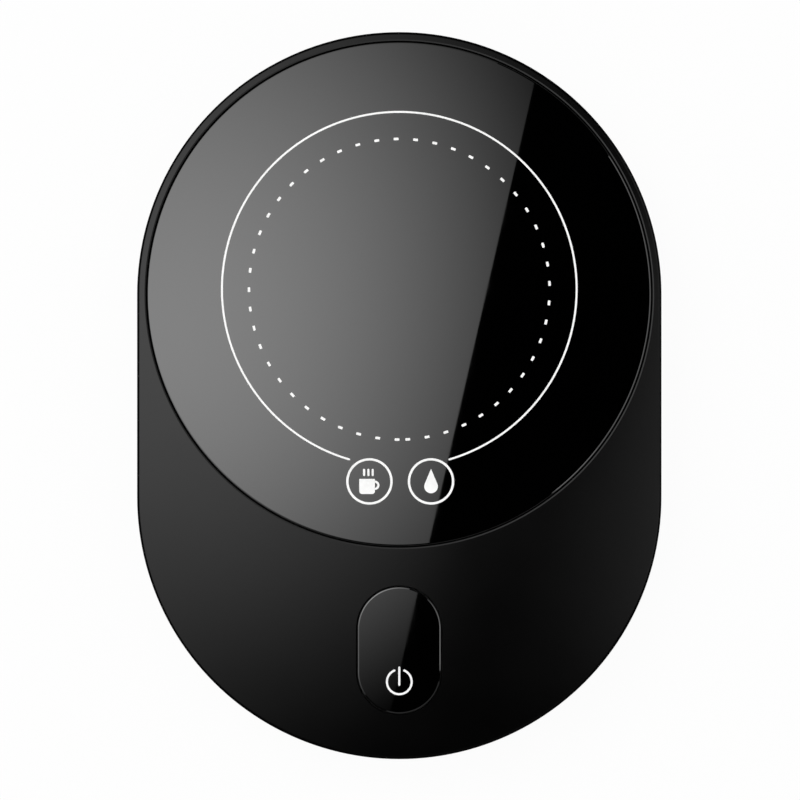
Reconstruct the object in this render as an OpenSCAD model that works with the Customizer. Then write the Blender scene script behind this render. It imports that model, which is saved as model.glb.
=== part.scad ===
// Electric mug warmer: a stadium-shaped housing with a round heated glass plate at the
// rear, a push button at the front and a USB-C power inlet in the rear wall.
// Millimetres. The origin is under the middle of the housing, on the table; +Y points to
// the rear, where the plate is, and +Z points up.

/* [Body] */
// Width of the housing across its straight sides
body_w = 104; // [102:1:108]
// Length of the housing, front to rear
body_len = 144.2; // [142:0.1:150]
// Height from the table to the top of the glass
body_h = 20; // [20:0.5:24]
// Thickness of the side wall
wall = 2.2; // [2:0.1:2.6]
// Thickness of the deck round the plate and the button
deck_t = 2.2; // [1.8:0.1:2.4]
// Width of the slanted edge round the deck
edge = 0.4; // [0.2:0.1:0.6]

/* [Plate] */
// Width of the rim between the plate's gap and the outside
rim = 1.75; // [1.4:0.05:1.8]
// Gap between the glass and the deck
plate_gap = 0.35; // [0.3:0.05:0.6]
// Thickness of the glass
plate_t = 3; // [2.8:0.1:3.2]
// Height of the glass above the deck
plate_proud = 0.2; // [0.1:0.1:0.4]
// Radius of the heated disc under the glass
hot_r = 38; // [36:0.5:38]

/* [Markings] */
// Depth of the white enamel in the glass
mark_depth = 0.1; // [0.05:0.05:0.3]
// Radius of the printed ring
ring_r = 35.15; // [33:0.05:36]
// Stroke of the printed ring
ring_stroke = 0.38; // [0.3:0.01:0.8]
// Opening of the printed ring at the front, in degrees
ring_open = 32.8; // [30:0.1:40]
// Radius of the row of dashes
dash_r = 29.79; // [28:0.01:30]
// Number of dashes
dash_count = 49; // [30:1:50]
// Angle from each dash to the next
dash_pitch = 7.415; // [7:0.005:7.45]
// Radius of the round badge about an icon
badge_r = 4.6; // [4.4:0.05:4.9]
// Stroke of a badge
badge_stroke = 0.46; // [0.4:0.02:0.6]

/* [Button] */
// Width of the button
cap_w = 16.4; // [16.4:0.1:17]
// Length of the button
cap_len = 25; // [24.6:0.1:26]
// Distance from the front of the housing to the middle of the button
cap_from_front = 21.6; // [21.6:0.1:22.2]
// Gap between the button and the deck
cap_gap = 0.37; // [0.3:0.01:0.4]
// How far the button travels when it is pressed
travel = 1; // [0.6:0.1:1]
// Radius of the power symbol, to the middle of its stroke
symbol_r = 2.45; // [2:0.01:2.6]
// Stroke of the power symbol
symbol_stroke = 0.41; // [0.3:0.01:0.6]

/* [Base] */
// Radius of a rubber foot
foot_r = 6; // [5:0.5:6]
// Height of the feet below the base
foot_proud = 1.2; // [1:0.1:1.5]
// Thickness of the base
base_t = 2; // [1.8:0.1:2.2]
// Number of slots in the vent
vent_count = 7; // [3:1:7]

/* [Hidden] */
$fn = 96;
overlap = 0.5;

// Colours
black_plastic = "#1c1c1e";
black_glass = "#0b0b0c";
enamel = "#f4f4f2";
rubber = "#2a2a2b";
steel = "#b9bcc0";
board_green = "#1f5b3a";
chip_black = "#232326";

// Heights, from the table up
z_base = foot_proud;
z_floor = z_base + base_t;
z_band = z_floor + 0.5;
seam_gap = 0.3;
z_seam = z_band + seam_gap;
z_lip = z_floor + 2.4;
// Heights, from the glass down
z_deck = body_h - plate_proud;
z_deck_low = z_deck - deck_t;
z_plate = body_h - plate_t;
gasket_t = 0.5;
z_ledge = z_plate - gasket_t;
ledge_t = 2.2;
z_ledge_low = z_ledge - ledge_t;
spreader_t = 1.5;
film_t = 0.3;
track_t = 0.1;
pad_t = 3.6;
pan_t = 0.8;
z_film = z_plate - spreader_t;
z_track = z_film - film_t;
z_pad = z_track - track_t;
z_pan = z_pad - pad_t;

// Outlines and places
end_r = body_w / 2;
plate_y = body_len / 2 - end_r;
plate_r = end_r - rim - plate_gap;
pocket_r = plate_r + plate_gap;
well_r = pocket_r + 2.2;
ledge_r = pocket_r - 6.5;
inner_r = end_r - wall;
ring_y = plate_y + 0.98;
cap_y = -body_len / 2 + cap_from_front;

// Print on the glass: dashes, and two round badges with an icon in each
dash_size = [0.5, 0.97];
dash_first = -86.77;
badge_x = [-5.92, 6.29];
badge_y = -17;
mug_size = [3.1, 3];
mug_corner = 0.55;
mug_x = badge_x[0] - 0.465;
mug_y = badge_y - 2.5;
handle_r = 0.72;
handle_stroke = 0.42;
handle_up = 1.74;
steam_size = [0.42, 1.45];
steam_x = badge_x[0] - 0.2;
steam_step = 0.85;
steam_gap = 0.55;
drop_r = 1.35;
drop_y = badge_y - 1;
drop_tip = 3.5;

// Base: an inset plate with a lip that fits inside the wall
base_inset = 0.6;
base_edge = 1;
lip_gap = 0.2;
lip_t = 1.6;
foot_x = 30;
foot_y = 50;
foot_t = 2;
foot_edge = 0.4;
foot_seat_r = foot_r + 0.1;
vent_slot = [1.8, 24];
vent_step = 6;
plaque = [44, 20, 0.3];
plaque_y = -26;

// Screws: [shank radius, head radius, head height, shank length]
base_screw = [1.5, 2.8, 1.9, 9];
pan_screw = [1.25, 2.2, 1.4, 4.6];
board_screw = [1.25, 2.2, 1.3, 3.7];
inlet_screw = [1, 1.9, 1.2, 3.5];
screw_slack = 0.02;
hole_slack = 0.15;
hole_spare = 0.5;
tip_gap = 0.2;
screw_x = body_w / 2 - 13;
screw_y = plate_y + 17.9;
boss_r = 3.5;
post_r = 4;
head_well_r = 3.4;
z_head_well = z_lip - 1.9;

// Clamp pan under the heater, on four arms
arm_r = plate_r - 3.6;
arm_w = 6;
blind_skin = 0.7;
pan_rim = 3.6;
pan_boss_r = 2.5;

// Gasket, heater and what sits in the pad under it
gasket_in = 2.5;
gasket_gap = 0.05;
gasket_lip = [plate_r + gasket_gap, pocket_r - gasket_gap];
gasket_lip_up = 1.4;
film_inset = 0.5;
film_tab = [20, 10];
film_tab_out = 3;
notch = [18, 8];
notch_out = 3;
fuse_at = [16, plate_y - 24];
fuse_r = 1.6;
fuse_len = 9.5;
fuse_slack = 0.3;
lead_r = 0.4;
lead_len = 3;
sensor_r = 2.5;
sensor_slack = 0.1;
sensor_hole_r = 1.8;

// Button parts
cap_proud = 0.1;
cap_skin = 1.4;
cap_wall = 1.4;
cap_edge = 0.35;
z_cap = z_deck + cap_proud;
z_cap_low = z_cap - cap_skin;
flange = 1.2;
flange_t = 1;
z_flange = z_deck_low - 0.1;
symbol_y = cap_y - 6.23;
symbol_open = 46.6;
symbol_bar = [3.02, -0.79];
symbol_depth = 0.3;
guide_r = 3.2;
guide_skin = 0.6;
guide_gap = 0.05;
pin_r = 1.2;
pin_x = 4.6;
pin_y = cap_y + 4;
pin_gap = 0.05;
pin_down = 0.7;
stem_r = 1.5;
stem_gap = 0.05;
stem_hole_gap = 0.4;
guide_sleeve = 0.8;
guide_hole_gap = 0.5;
led_gap = 0.3;
frame_t = 1.5;
frame_wall = 1.5;
frame_gap = 0.5;
frame_screw_in = 2.4;
ear_x = 15.5;
ear_r = 3.2;
spring_wire_r = 0.175;
spring_r = 1.75;
spring_turns = 4;

// Control board and what it carries
board_t = 1.6;
z_board = 6;
z_board_top = z_board + board_t;
board_r = inner_r - 4.8;
board_x = 28;
board_rear = cap_y + 17.5;
board_screw_at = [[-23, 12], [23, 12], [-16, -10], [16, -10]];
board_post_r = 2.75;
switch_size = [6, 6, 3.5];
plunger_r = 1.75;
plunger_up = 2;
plunger_in = 1.6;
plunger_gap = 0.05;
plunger_spare = 0.1;
z_plunger = z_board_top + switch_size[2] + plunger_up;
frame_up = 0.2;
z_frame = z_plunger + frame_up;
led_size = [3, 1.4, 0.7];
connector_size = [7, 5, 5];
connector_x = [-12, 0, 12];
connector_y = cap_y + 12;

// Inlet: a USB-C socket on a board of its own
socket = [8.94, 3.26];
socket_len = 7.35;
socket_wall = 0.3;
socket_back = 1.6;
socket_gap = 0.15;
inlet_y = body_len / 2;
recess = [13, 7, 1.2];
socket_front = inlet_y - recess[2] - socket_gap;
socket_root = socket_front - socket_len + socket_back;
slot_reach = 2;
z_inlet_board = 5.95;
z_inlet_top = z_inlet_board + board_t;
z_inlet = z_inlet_top + socket[1] / 2;
inlet_board_w = 22;
inlet_board_gap = 0.9;
inlet_board_y = inlet_y - 20.1;
inlet_screw_at = [8, inlet_board_y + 4];
inlet_post_r = 2.4;
tongue = [6.69, 0.7];
tongue_len = 4.6;
contact_count = 12;
contact = [0.25, 3, 0.05];
contact_step = 0.5;
contact_in = 0.8;

// Wires: radius, and the points along the middle of each
power_r = 0.65;
heater_r = 0.65;
sensor_wire_r = 0.5;
plug_y = inlet_board_y + 0.4;
header_y = connector_y + connector_size[1] / 2;
header_z = z_board_top + 2;
strip_y = plate_y - 39;
power_routes = [for (x = [-1, 1]) [
    [x, plug_y, 9], [x, plug_y - 2, 9], [x, plug_y - 4, 8.8], [x - 3, 36, 7.2],
    [x - 7, 10, 7], [x - 11.5, -16, 7.2], [x - 12, -29, 8.8], [x - 12, header_y + 3, header_z],
    [x - 12, header_y + 1.5, header_z], [x - 12, header_y, header_z]]];
heater_routes = [for (x = [[-5, -1], [0, 1]]) [
    [x[0], strip_y, z_pad], [x[0], strip_y, z_pad - 1.2], [x[0], strip_y, z_pad - 2.4],
    [x[0], strip_y - 1.5, 9.6], [(x[0] + x[1]) / 2, strip_y - 7, 8.8],
    [x[1], header_y + 3, header_z], [x[1], header_y + 1.5, header_z], [x[1], header_y, header_z]]];
sensor_routes = [for (x = [-0.8, 0.8]) [
    [x, plate_y, z_pan], [x, plate_y, z_pan - 1], [x, plate_y, z_pan - 2], [x + 1, 16, 8],
    [x + 4, 4, 7.6], [x + 9, -16, 7.6], [x + 12, -28, 8.8], [x + 12, header_y + 3, header_z],
    [x + 12, header_y + 1.5, header_z], [x + 12, header_y, header_z]]];

// ---------------------------------------------------------------- shared shapes

// Outline with two straight sides along Y and round ends
module stadium(w, l) {
    straight = l - w;
    for (side = [-1, 1]) translate([0, side * straight / 2]) circle(d = w);
    square([w, straight], center = true);
}

// Solid of stadium outline; its child is the half section, X outwards and Y upwards
module capsule(straight) {
    for (turn = [0, 180]) rotate(turn) {
        translate([0, straight / 2]) rotate_extrude(angle = 180) children();
        translate([0, straight / 2]) rotate([90, 0, 0]) linear_extrude(straight) children();
    }
}

// Stadium prism between two heights
module prism(w, l, z0, z1) {
    translate([0, 0, z0]) linear_extrude(z1 - z0) stadium(w, l);
}

// Round post or hole between two heights
module post(at, r, z0, z1) {
    translate([at[0], at[1], z0]) cylinder(r = r, h = z1 - z0);
}

// Four places mirrored about both middle planes
module four(x, y) {
    for (sx = [-1, 1], sy = [-1, 1]) translate([sx * x, sy * y]) children();
}

// The clamp pan's four arms, from the middle of the plate
module arms() {
    translate([0, plate_y]) for (turn = [45 : 90 : 315]) rotate(turn) children();
}

// Pan-head screw whose head seats at z and whose shank points up, or down
module screw(size, z, up = true) {
    slot = [size[1] * 1.2, size[1] * 0.3, size[2]];
    translate([0, 0, z]) mirror([0, 0, up ? 0 : 1]) {
        cylinder(r = size[0], h = size[3]);
        difference() {
            translate([0, 0, -size[2]]) cylinder(r = size[1], h = size[2]);
            for (turn = [0, 90]) rotate(turn)
                translate([0, 0, -size[2]]) cube(slot, center = true);
        }
    }
}

function unit(v) = v / norm(v);

// Point at share t between b and c of a smooth curve through a, b, c and d
function between(a, b, c, d, t) =
    0.5 * (2 * b + (c - a) * t + (2 * a - 5 * b + 4 * c - d) * t * t
        + (3 * b - a - 3 * c + d) * t * t * t);

// Smooth curve through the points p, in n steps a stretch
function smooth(p, n = 3) = [
    for (i = [0 : len(p) - 2]) for (k = [0 : n - 1])
        between(p[max(i - 1, 0)], p[i], p[i + 1], p[min(i + 2, len(p) - 1)], k / n),
    p[len(p) - 1]];

// Round tube along the points; across and up span each of its rings
module tube(points, across, up, r, sides = 8) {
    last = len(points) - 1;
    polyhedron(
        points = [for (i = [0 : last]) for (k = [0 : sides - 1])
            points[i] + r * (cos(360 * k / sides) * across[i] + sin(360 * k / sides) * up[i])],
        faces = concat(
            [[for (k = [0 : sides - 1]) k]],
            [for (i = [0 : last - 1]) for (k = [0 : sides - 1])
                [i * sides + k, (i + 1) * sides + k,
                    (i + 1) * sides + (k + 1) % sides, i * sides + (k + 1) % sides]],
            [[for (k = [sides - 1 : -1 : 0]) last * sides + k]]));
}

// Insulated wire through hand-set points that mostly run along Y or Z
module wire(route, r) {
    points = smooth(route);
    last = len(points) - 1;
    along = [for (i = [0 : last]) unit(points[min(i + 1, last)] - points[max(i - 1, 0)])];
    up = [for (d = along) unit(cross(d, [1, 0, 0]))];
    across = [for (i = [0 : last]) cross(up[i], along[i])];
    tube(points, across, up, r);
}

// Compression spring between two heights
module spring(at, z0, z1) {
    steps = 14;
    count = spring_turns * steps;
    rise = z1 - z0 - 2 * spring_wire_r;
    turns = [for (i = [0 : count]) 360 * i / steps];
    out = [for (a = turns) [cos(a), sin(a), 0]];
    tube([for (i = [0 : count])
            [at[0], at[1], z0 + spring_wire_r + rise * i / count] + spring_r * out[i]],
        out, [for (a = turns) [0, 0, 1]], spring_wire_r);
}

// ---------------------------------------------------------------- housing

// Half section of the housing's outside
module shell_section() {
    polygon([[0, z_seam], [end_r - edge, z_seam], [end_r, z_seam + edge],
        [end_r, z_deck - edge], [end_r - edge, z_deck], [0, z_deck]]);
}

module upper_shell() {
    color(black_plastic) difference() {
        capsule(2 * plate_y) shell_section();
        // Hollow under the deck, less the plate's well and the screw bosses
        difference() {
            prism(2 * inner_r, body_len - 2 * wall, z_seam - overlap, z_deck_low);
            post([0, plate_y], well_r, z_ledge_low, z_deck);
            four(screw_x, screw_y) post([0, 0], boss_r, z_lip, z_deck);
            arms() post([arm_r, 0], pan_boss_r, z_pan, z_deck);
            for (side = [-1, 1])
                post([side * ear_x, cap_y], ear_r, z_frame + frame_t, z_deck);
        }
        post([0, plate_y], pocket_r, z_ledge, z_deck + overlap);
        post([0, plate_y], ledge_r, z_ledge_low - overlap, z_ledge + overlap);
        translate([0, cap_y])
            prism(cap_w + 2 * cap_gap, cap_len + 2 * cap_gap, z_deck_low - overlap, z_deck + overlap);
        four(screw_x, screw_y)
            post([0, 0], base_screw[0] + screw_slack,
                z_lip - overlap, z_head_well + base_screw[3] + hole_spare);
        arms() post([arm_r, 0], pan_screw[0] + screw_slack, z_pan - overlap, z_ledge - blind_skin);
        for (side = [-1, 1]) post([side * ear_x, cap_y], pan_screw[0] + screw_slack,
            z_frame + frame_t - overlap, z_deck_low);
        inlet_opening();
    }
}

// Recess for the plug's grip, and the slot that the socket looks out of
module inlet_opening() {
    translate([0, inlet_y - recess[2], z_inlet]) rotate([-90, 90, 0])
        linear_extrude(recess[2] + overlap) stadium(recess[1], recess[0]);
    translate([0, inlet_y - wall - slot_reach, z_inlet]) rotate([-90, 90, 0])
        linear_extrude(wall + slot_reach) stadium(socket[1] + 2 * socket_gap, socket[0] + 2 * socket_gap);
}

// Half section of the base: a plate, the band under the wall and the lip inside it
module base_section() {
    band_r = end_r - base_inset;
    lip_r = inner_r - lip_gap;
    polygon([[0, z_base], [band_r - base_edge, z_base], [band_r, z_base + base_edge],
        [band_r, z_band], [lip_r, z_band], [lip_r, z_lip], [lip_r - lip_t, z_lip],
        [lip_r - lip_t, z_floor], [0, z_floor]]);
}

module base_cover() {
    color(black_plastic) difference() {
        union() {
            capsule(2 * plate_y) base_section();
            four(screw_x, screw_y) post([0, 0], post_r, z_floor - overlap, z_lip);
            for (at = board_screw_at)
                post([at[0], cap_y + at[1]], board_post_r, z_floor - overlap, z_board);
            for (side = [-1, 1])
                post([side * inlet_screw_at[0], inlet_screw_at[1]],
                    inlet_post_r, z_floor - overlap, z_inlet_board);
        }
        four(screw_x, screw_y) {
            post([0, 0], head_well_r, z_base - overlap, z_head_well);
            post([0, 0], base_screw[0] + hole_slack, z_base, z_lip + overlap);
        }
        four(foot_x, foot_y) post([0, 0], foot_seat_r, z_base - overlap, foot_t);
        for (at = board_screw_at) post([at[0], cap_y + at[1]],
            board_screw[0] + screw_slack, z_board_top - board_screw[3] - tip_gap, z_board + overlap);
        for (side = [-1, 1]) post([side * inlet_screw_at[0], inlet_screw_at[1]],
            inlet_screw[0] + screw_slack, z_inlet_top - inlet_screw[3] - tip_gap, z_inlet_board + overlap);
        for (i = [0 : vent_count - 1])
            translate([(i - (vent_count - 1) / 2) * vent_step, plate_y])
                prism(vent_slot[0], vent_slot[1], z_base - overlap, z_floor + overlap);
        translate([0, plaque_y, z_base])
            cube([plaque[0], plaque[1], 2 * plaque[2]], center = true);
    }
}

// Rubber foot in its seat; sx and sy pick the corner
module foot(sx, sy) {
    color(rubber) translate([sx * foot_x, sy * foot_y]) rotate_extrude()
        polygon([[0, 0], [foot_r - foot_edge, 0], [foot_r, foot_edge], [foot_r, foot_t], [0, foot_t]]);
}

module base_screws() {
    color(steel) four(screw_x, screw_y) screw(base_screw, z_head_well);
}

// ---------------------------------------------------------------- plate and heater

// Open ring with round ends, its gap centred on direction turn
module open_ring(r, stroke, open, turn) {
    reach = 2 * r;
    difference() {
        circle(r + stroke / 2);
        circle(r - stroke / 2);
        rotate(turn) polygon([[0, 0], reach * [cos(open / 2), -sin(open / 2)],
            reach * [cos(open / 2), sin(open / 2)]]);
    }
    for (side = [-1, 1]) rotate(turn + side * open / 2) translate([r, 0]) circle(0.48 * stroke, $fn = 24);
}

// Closed ring about an icon
module badge() {
    difference() {
        circle(badge_r);
        circle(badge_r - badge_stroke);
    }
}

// A filled mug with its handle, and three strokes of steam above it
module mug_icon() {
    w = mug_size[0];
    h = mug_size[1];
    side = w / 2 - mug_corner;
    translate([mug_x, mug_y]) {
        for (x = [-side, side]) translate([x, mug_corner]) circle(mug_corner, $fn = 32);
        translate([-side, 0]) square([2 * side, h]);
        translate([-w / 2, mug_corner]) square([w, h - mug_corner]);
        translate([w / 2, handle_up]) difference() {
            circle(handle_r + handle_stroke / 2, $fn = 32);
            circle(handle_r - handle_stroke / 2, $fn = 32);
            translate([-w, -h / 2]) square([w, h]);
        }
    }
    for (i = [-1 : 1])
        translate([steam_x + i * steam_step, mug_y + h + steam_gap + steam_size[1] / 2])
            stadium(steam_size[0], steam_size[1], $fn = 24);
}

// A drop with its point up; the point's sides touch the round part
module drop_icon() {
    lean = acos(drop_r / drop_tip);
    translate([badge_x[1], drop_y]) {
        circle(drop_r, $fn = 48);
        polygon([[0, 0], drop_r * [sin(lean), cos(lean)], [0, drop_tip], drop_r * [-sin(lean), cos(lean)]]);
    }
}

// White print on the glass, as an outline
module print_outline() {
    translate([0, ring_y]) {
        open_ring(ring_r, ring_stroke, ring_open, -90);
        for (i = [0 : dash_count - 1])
            rotate(dash_first + i * dash_pitch) translate([dash_r, 0]) square(dash_size, center = true);
    }
    for (x = badge_x) translate([x, badge_y]) badge();
    mug_icon();
    drop_icon();
}

module glass_plate() {
    chamfer = 0.4;
    color(black_glass) difference() {
        translate([0, plate_y]) rotate_extrude($fn = 180) polygon([[0, z_plate],
            [plate_r - chamfer, z_plate], [plate_r, z_plate + chamfer],
            [plate_r, body_h - chamfer], [plate_r - chamfer, body_h], [0, body_h]]);
        translate([0, 0, body_h - mark_depth]) linear_extrude(1) print_outline();
    }
}

module plate_markings() {
    color(enamel) translate([0, 0, body_h - mark_depth]) linear_extrude(mark_depth) print_outline();
}

// Silicone seat under the glass with a lip round it
module plate_gasket() {
    lip = gasket_lip;
    z_lip_top = z_plate + gasket_lip_up;
    color(rubber) translate([0, plate_y]) rotate_extrude() polygon([[ledge_r + gasket_in, z_ledge],
        [lip[1], z_ledge], [lip[1], z_lip_top], [lip[0], z_lip_top], [lip[0], z_plate],
        [ledge_r + gasket_in, z_plate]]);
}

module heat_spreader() {
    color("#c9ccd0") post([0, plate_y], hot_r, z_film, z_plate);
}

// Film with a tab at the front that carries the wires' ends
module film_outline() {
    circle(hot_r - film_inset);
    translate([-film_tab[0] / 2, -hot_r - film_tab_out]) square(film_tab);
}

module heater_film() {
    color("#b5651d") translate([0, plate_y, z_track]) linear_extrude(film_t) film_outline();
}

// Resistance track: rings joined by turns at a slot that faces the front
module heater_track() {
    w = 2;
    step = 5;
    rings = 6;
    slot = 4;
    inner = 10;
    color("#8d8f94") translate([0, plate_y, z_pad]) linear_extrude(track_t) {
        for (i = [0 : rings - 1]) difference() {
            circle(inner + i * step + w / 2);
            circle(inner + i * step - w / 2);
            translate([-slot, -hot_r]) square([2 * slot, hot_r]);
        }
        for (i = [0 : rings - 2])
            translate([i % 2 == 0 ? slot : -slot - w, -inner - (i + 1) * step]) square([w, step]);
        translate([-slot - w, -hot_r - 2]) square([w, hot_r + 2 - inner - (rings - 1) * step]);
        translate([-w / 2, -hot_r - 2]) square([w, hot_r + 2 - inner]);
        translate([-slot - w / 2, -inner - w / 2]) square([slot + w / 2, w]);
    }
}

module insulation_pad() {
    color("#e8e6dc") difference() {
        post([0, plate_y], hot_r - film_inset, z_pan, z_pad);
        post([0, plate_y], sensor_r + sensor_slack, z_pan - overlap, z_pad + overlap);
        translate([fuse_at[0], fuse_at[1], z_pad - fuse_r])
            cube([fuse_len + 2 * lead_len + 1, 2 * (fuse_r + fuse_slack), 2 * fuse_r], center = true);
        wire_notch(z_pan - overlap, z_pad + overlap);
    }
}

// Cut at the front edge of the pad and the pan that lets the heater wires down
module wire_notch(z0, z1) {
    translate([-notch[0] / 2, plate_y - hot_r - notch_out, z0]) cube([notch[0], notch[1], z1 - z0]);
}

// Pressed steel pan that holds the heater up against the glass
module clamp_pan() {
    color(steel) difference() {
        union() {
            translate([0, plate_y]) rotate_extrude() polygon([[0, z_pan - pan_t],
                [hot_r + pan_t, z_pan - pan_t], [hot_r + pan_t, z_pan - pan_t + pan_rim],
                [hot_r, z_pan - pan_t + pan_rim], [hot_r, z_pan], [0, z_pan]]);
            arms() {
                translate([hot_r + pan_t / 2, -arm_w / 2, z_pan - pan_t])
                    cube([arm_r - hot_r - pan_t / 2, arm_w, pan_t]);
                post([arm_r, 0], arm_w / 2, z_pan - pan_t, z_pan);
            }
        }
        arms() post([arm_r, 0], pan_screw[0] + hole_slack, z_pan - 2 * pan_t, z_pan + overlap);
        post([0, plate_y], sensor_hole_r, z_pan - 2 * pan_t, z_pan + overlap);
        wire_notch(z_pan - 2 * pan_t, z_pad);
    }
}

module clamp_screws() {
    color(steel) arms() translate([arm_r, 0]) screw(pan_screw, z_pan - pan_t);
}

module temperature_sensor() {
    color("#d8d3c4") post([0, plate_y], sensor_r, z_pan, z_track);
}

module thermal_fuse() {
    color("#d9c27a") translate([fuse_at[0], fuse_at[1], z_pad - fuse_r]) rotate([0, 90, 0]) {
        cylinder(r = fuse_r, h = fuse_len, center = true);
        cylinder(r = lead_r, h = fuse_len + 2 * lead_len, center = true);
    }
}

// ---------------------------------------------------------------- button

// Power symbol as an outline
module symbol_outline() {
    translate([0, symbol_y]) {
        open_ring(symbol_r, symbol_stroke, symbol_open, 90);
        translate([0, (symbol_bar[0] + symbol_bar[1]) / 2])
            stadium(symbol_stroke, symbol_bar[0] - symbol_bar[1], $fn = 24);
    }
}

module button_cap() {
    r = cap_w / 2;
    straight = cap_len - cap_w;
    z_flange_low = z_flange - flange_t;
    color(black_plastic) difference() {
        union() {
            translate([0, cap_y]) difference() {
                capsule(straight) polygon([[0, z_flange_low], [r + flange, z_flange_low],
                    [r + flange, z_flange], [r, z_flange], [r, z_cap - cap_edge],
                    [r - cap_edge, z_cap], [0, z_cap]]);
                prism(cap_w - 2 * cap_wall, cap_len - 2 * cap_wall, z_flange_low - overlap, z_cap_low);
            }
            for (side = [-1, 1])
                post([side * pin_x, pin_y], pin_r, z_frame - pin_down, z_cap_low + overlap);
            post([0, cap_y], stem_r, z_plunger + stem_gap, z_cap_low + overlap);
            post([0, symbol_y], guide_r + guide_sleeve, z_flange_low, z_cap_low + overlap);
        }
        post([0, symbol_y], guide_r + guide_gap, z_flange_low - overlap, z_cap - guide_skin);
        translate([0, 0, z_cap - symbol_depth]) linear_extrude(1) symbol_outline();
    }
}

module button_symbol() {
    color(enamel) translate([0, 0, z_cap - symbol_depth]) linear_extrude(symbol_depth) symbol_outline();
}

module light_guide() {
    z_led = z_board_top + led_size[2];
    color("#dfe8ee", 0.8) post([0, symbol_y], guide_r, z_led + travel + led_gap, z_cap - guide_skin);
}

// Tray under the button: bores for its two pins, seats for its springs, ears for screws
module button_frame() {
    w = cap_w + 2 * (flange + frame_gap + frame_wall);
    l = w + cap_len - cap_w;
    z_plate_top = z_frame + frame_t;
    color("#2b2b2e") difference() {
        union() {
            translate([0, cap_y]) prism(w, l, z_frame, z_deck_low);
            for (side = [-1, 1]) post([side * ear_x, cap_y], ear_r, z_frame, z_plate_top);
            translate([-ear_x, cap_y - ear_r, z_frame]) cube([2 * ear_x, 2 * ear_r, frame_t]);
        }
        translate([0, cap_y])
            prism(w - 2 * frame_wall, l - 2 * frame_wall, z_plate_top, z_deck_low + overlap);
        for (side = [-1, 1]) {
            post([side * pin_x, pin_y], pin_r + pin_gap, z_frame - overlap, z_deck);
            post([side * ear_x, cap_y], pan_screw[0] + hole_slack, z_frame - overlap, z_deck);
        }
        post([0, cap_y], stem_r + stem_hole_gap, z_frame - overlap, z_deck);
        post([0, symbol_y], guide_r + guide_hole_gap, z_frame - overlap, z_deck);
    }
}

module frame_screws() {
    size = [pan_screw[0], pan_screw[1], pan_screw[2], frame_t + frame_screw_in];
    color(steel) for (side = [-1, 1]) translate([side * ear_x, cap_y]) screw(size, z_frame);
}

module button_spring(side) {
    color(steel) spring([side * pin_x, pin_y], z_frame + frame_t, z_cap_low);
}

module switch_body() {
    size = switch_size;
    color(chip_black) difference() {
        translate([-size[0] / 2, cap_y - size[1] / 2, z_board_top]) cube(size);
        post([0, cap_y], plunger_r + plunger_gap,
            z_plunger - plunger_up - plunger_in - travel - plunger_spare, z_plunger);
    }
}

module switch_plunger() {
    color("#e4e1d6") post([0, cap_y], plunger_r, z_plunger - plunger_up - plunger_in, z_plunger);
}

// ---------------------------------------------------------------- boards

// A part with square corners that stands on the board at x, y from the button's middle
module on_board(at, size) {
    translate([at[0] - size[0] / 2, cap_y + at[1] - size[1] / 2, z_board_top]) cube(size);
}

module control_board() {
    color(board_green) difference() {
        translate([0, 0, z_board]) linear_extrude(board_t) intersection() {
            translate([0, -plate_y]) circle(board_r);
            translate([-board_x, -body_len / 2]) square([2 * board_x, board_rear + body_len / 2]);
        }
        for (at = board_screw_at) post([at[0], cap_y + at[1]],
            board_screw[0] + hole_slack, z_board - overlap, z_board_top + overlap);
    }
}

module board_screws() {
    color(steel) for (at = board_screw_at)
        translate([at[0], cap_y + at[1]]) screw(board_screw, z_board_top, false);
}

// Flat chip with a row of pins on each long side
module processor_chip() {
    at = [12, 5];
    body = [8.6, 3.9, 1.5];
    pin = [0.45, 0.9, 0.5];
    pins = 7;
    pin_step = 1.2;
    row = body[1] / 2 + pin[1] / 2;
    color(chip_black) on_board(at, body);
    color(steel) for (i = [0 : pins - 1], side = [-1, 1])
        on_board([at[0] + (i - (pins - 1) / 2) * pin_step, at[1] + side * row], pin);
}

module power_transistor() {
    at = [-20, 2];
    body = [6.6, 6.1, 2.3];
    leg = [0.8, 2.3, 0.6];
    leg_x = 2.3;
    color(chip_black) on_board(at, body);
    color(steel) for (side = [-1, 1])
        on_board([at[0] + side * leg_x, at[1] - body[1] / 2 - leg[1] / 2], leg);
}

module board_capacitor() {
    at = [23, cap_y + 3];
    r = 3.15;
    h = 5.4;
    color("#3a3f58") post(at, r, z_board_top, z_board_top + h);
}

module chip_resistors() {
    first = [-12, 4];
    step = [1.2, -2];
    count = 6;
    color("#4a4038") for (i = [0 : count - 1])
        on_board([first[0] + step[0] * (i % 2), first[1] + step[1] * i], [0.8, 1.25, 0.5]);
}

module status_led() {
    color("#f2f2e6") translate([0, symbol_y - cap_y]) on_board([0, 0], led_size);
}

module wire_connectors() {
    color("#efeee8") for (x = connector_x) on_board([x, connector_y - cap_y], connector_size);
}

module inlet_board() {
    color(board_green) difference() {
        translate([0, 0, z_inlet_board]) linear_extrude(board_t) intersection() {
            translate([0, plate_y]) circle(inner_r - inlet_board_gap);
            translate([-inlet_board_w / 2, inlet_board_y]) square([inlet_board_w, inner_r]);
        }
        for (side = [-1, 1]) post([side * inlet_screw_at[0], inlet_screw_at[1]],
            inlet_screw[0] + hole_slack, z_inlet_board - overlap, z_inlet_top + overlap);
    }
}

module inlet_screws() {
    color(steel) for (side = [-1, 1])
        translate([side * inlet_screw_at[0], inlet_screw_at[1]]) screw(inlet_screw, z_inlet_top, false);
}

module inlet_chip() {
    size = [4, 3.4, 1];
    behind = 6.2;
    color(chip_black) translate([-size[0] / 2, inlet_board_y + behind, z_inlet_top]) cube(size);
}

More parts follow.
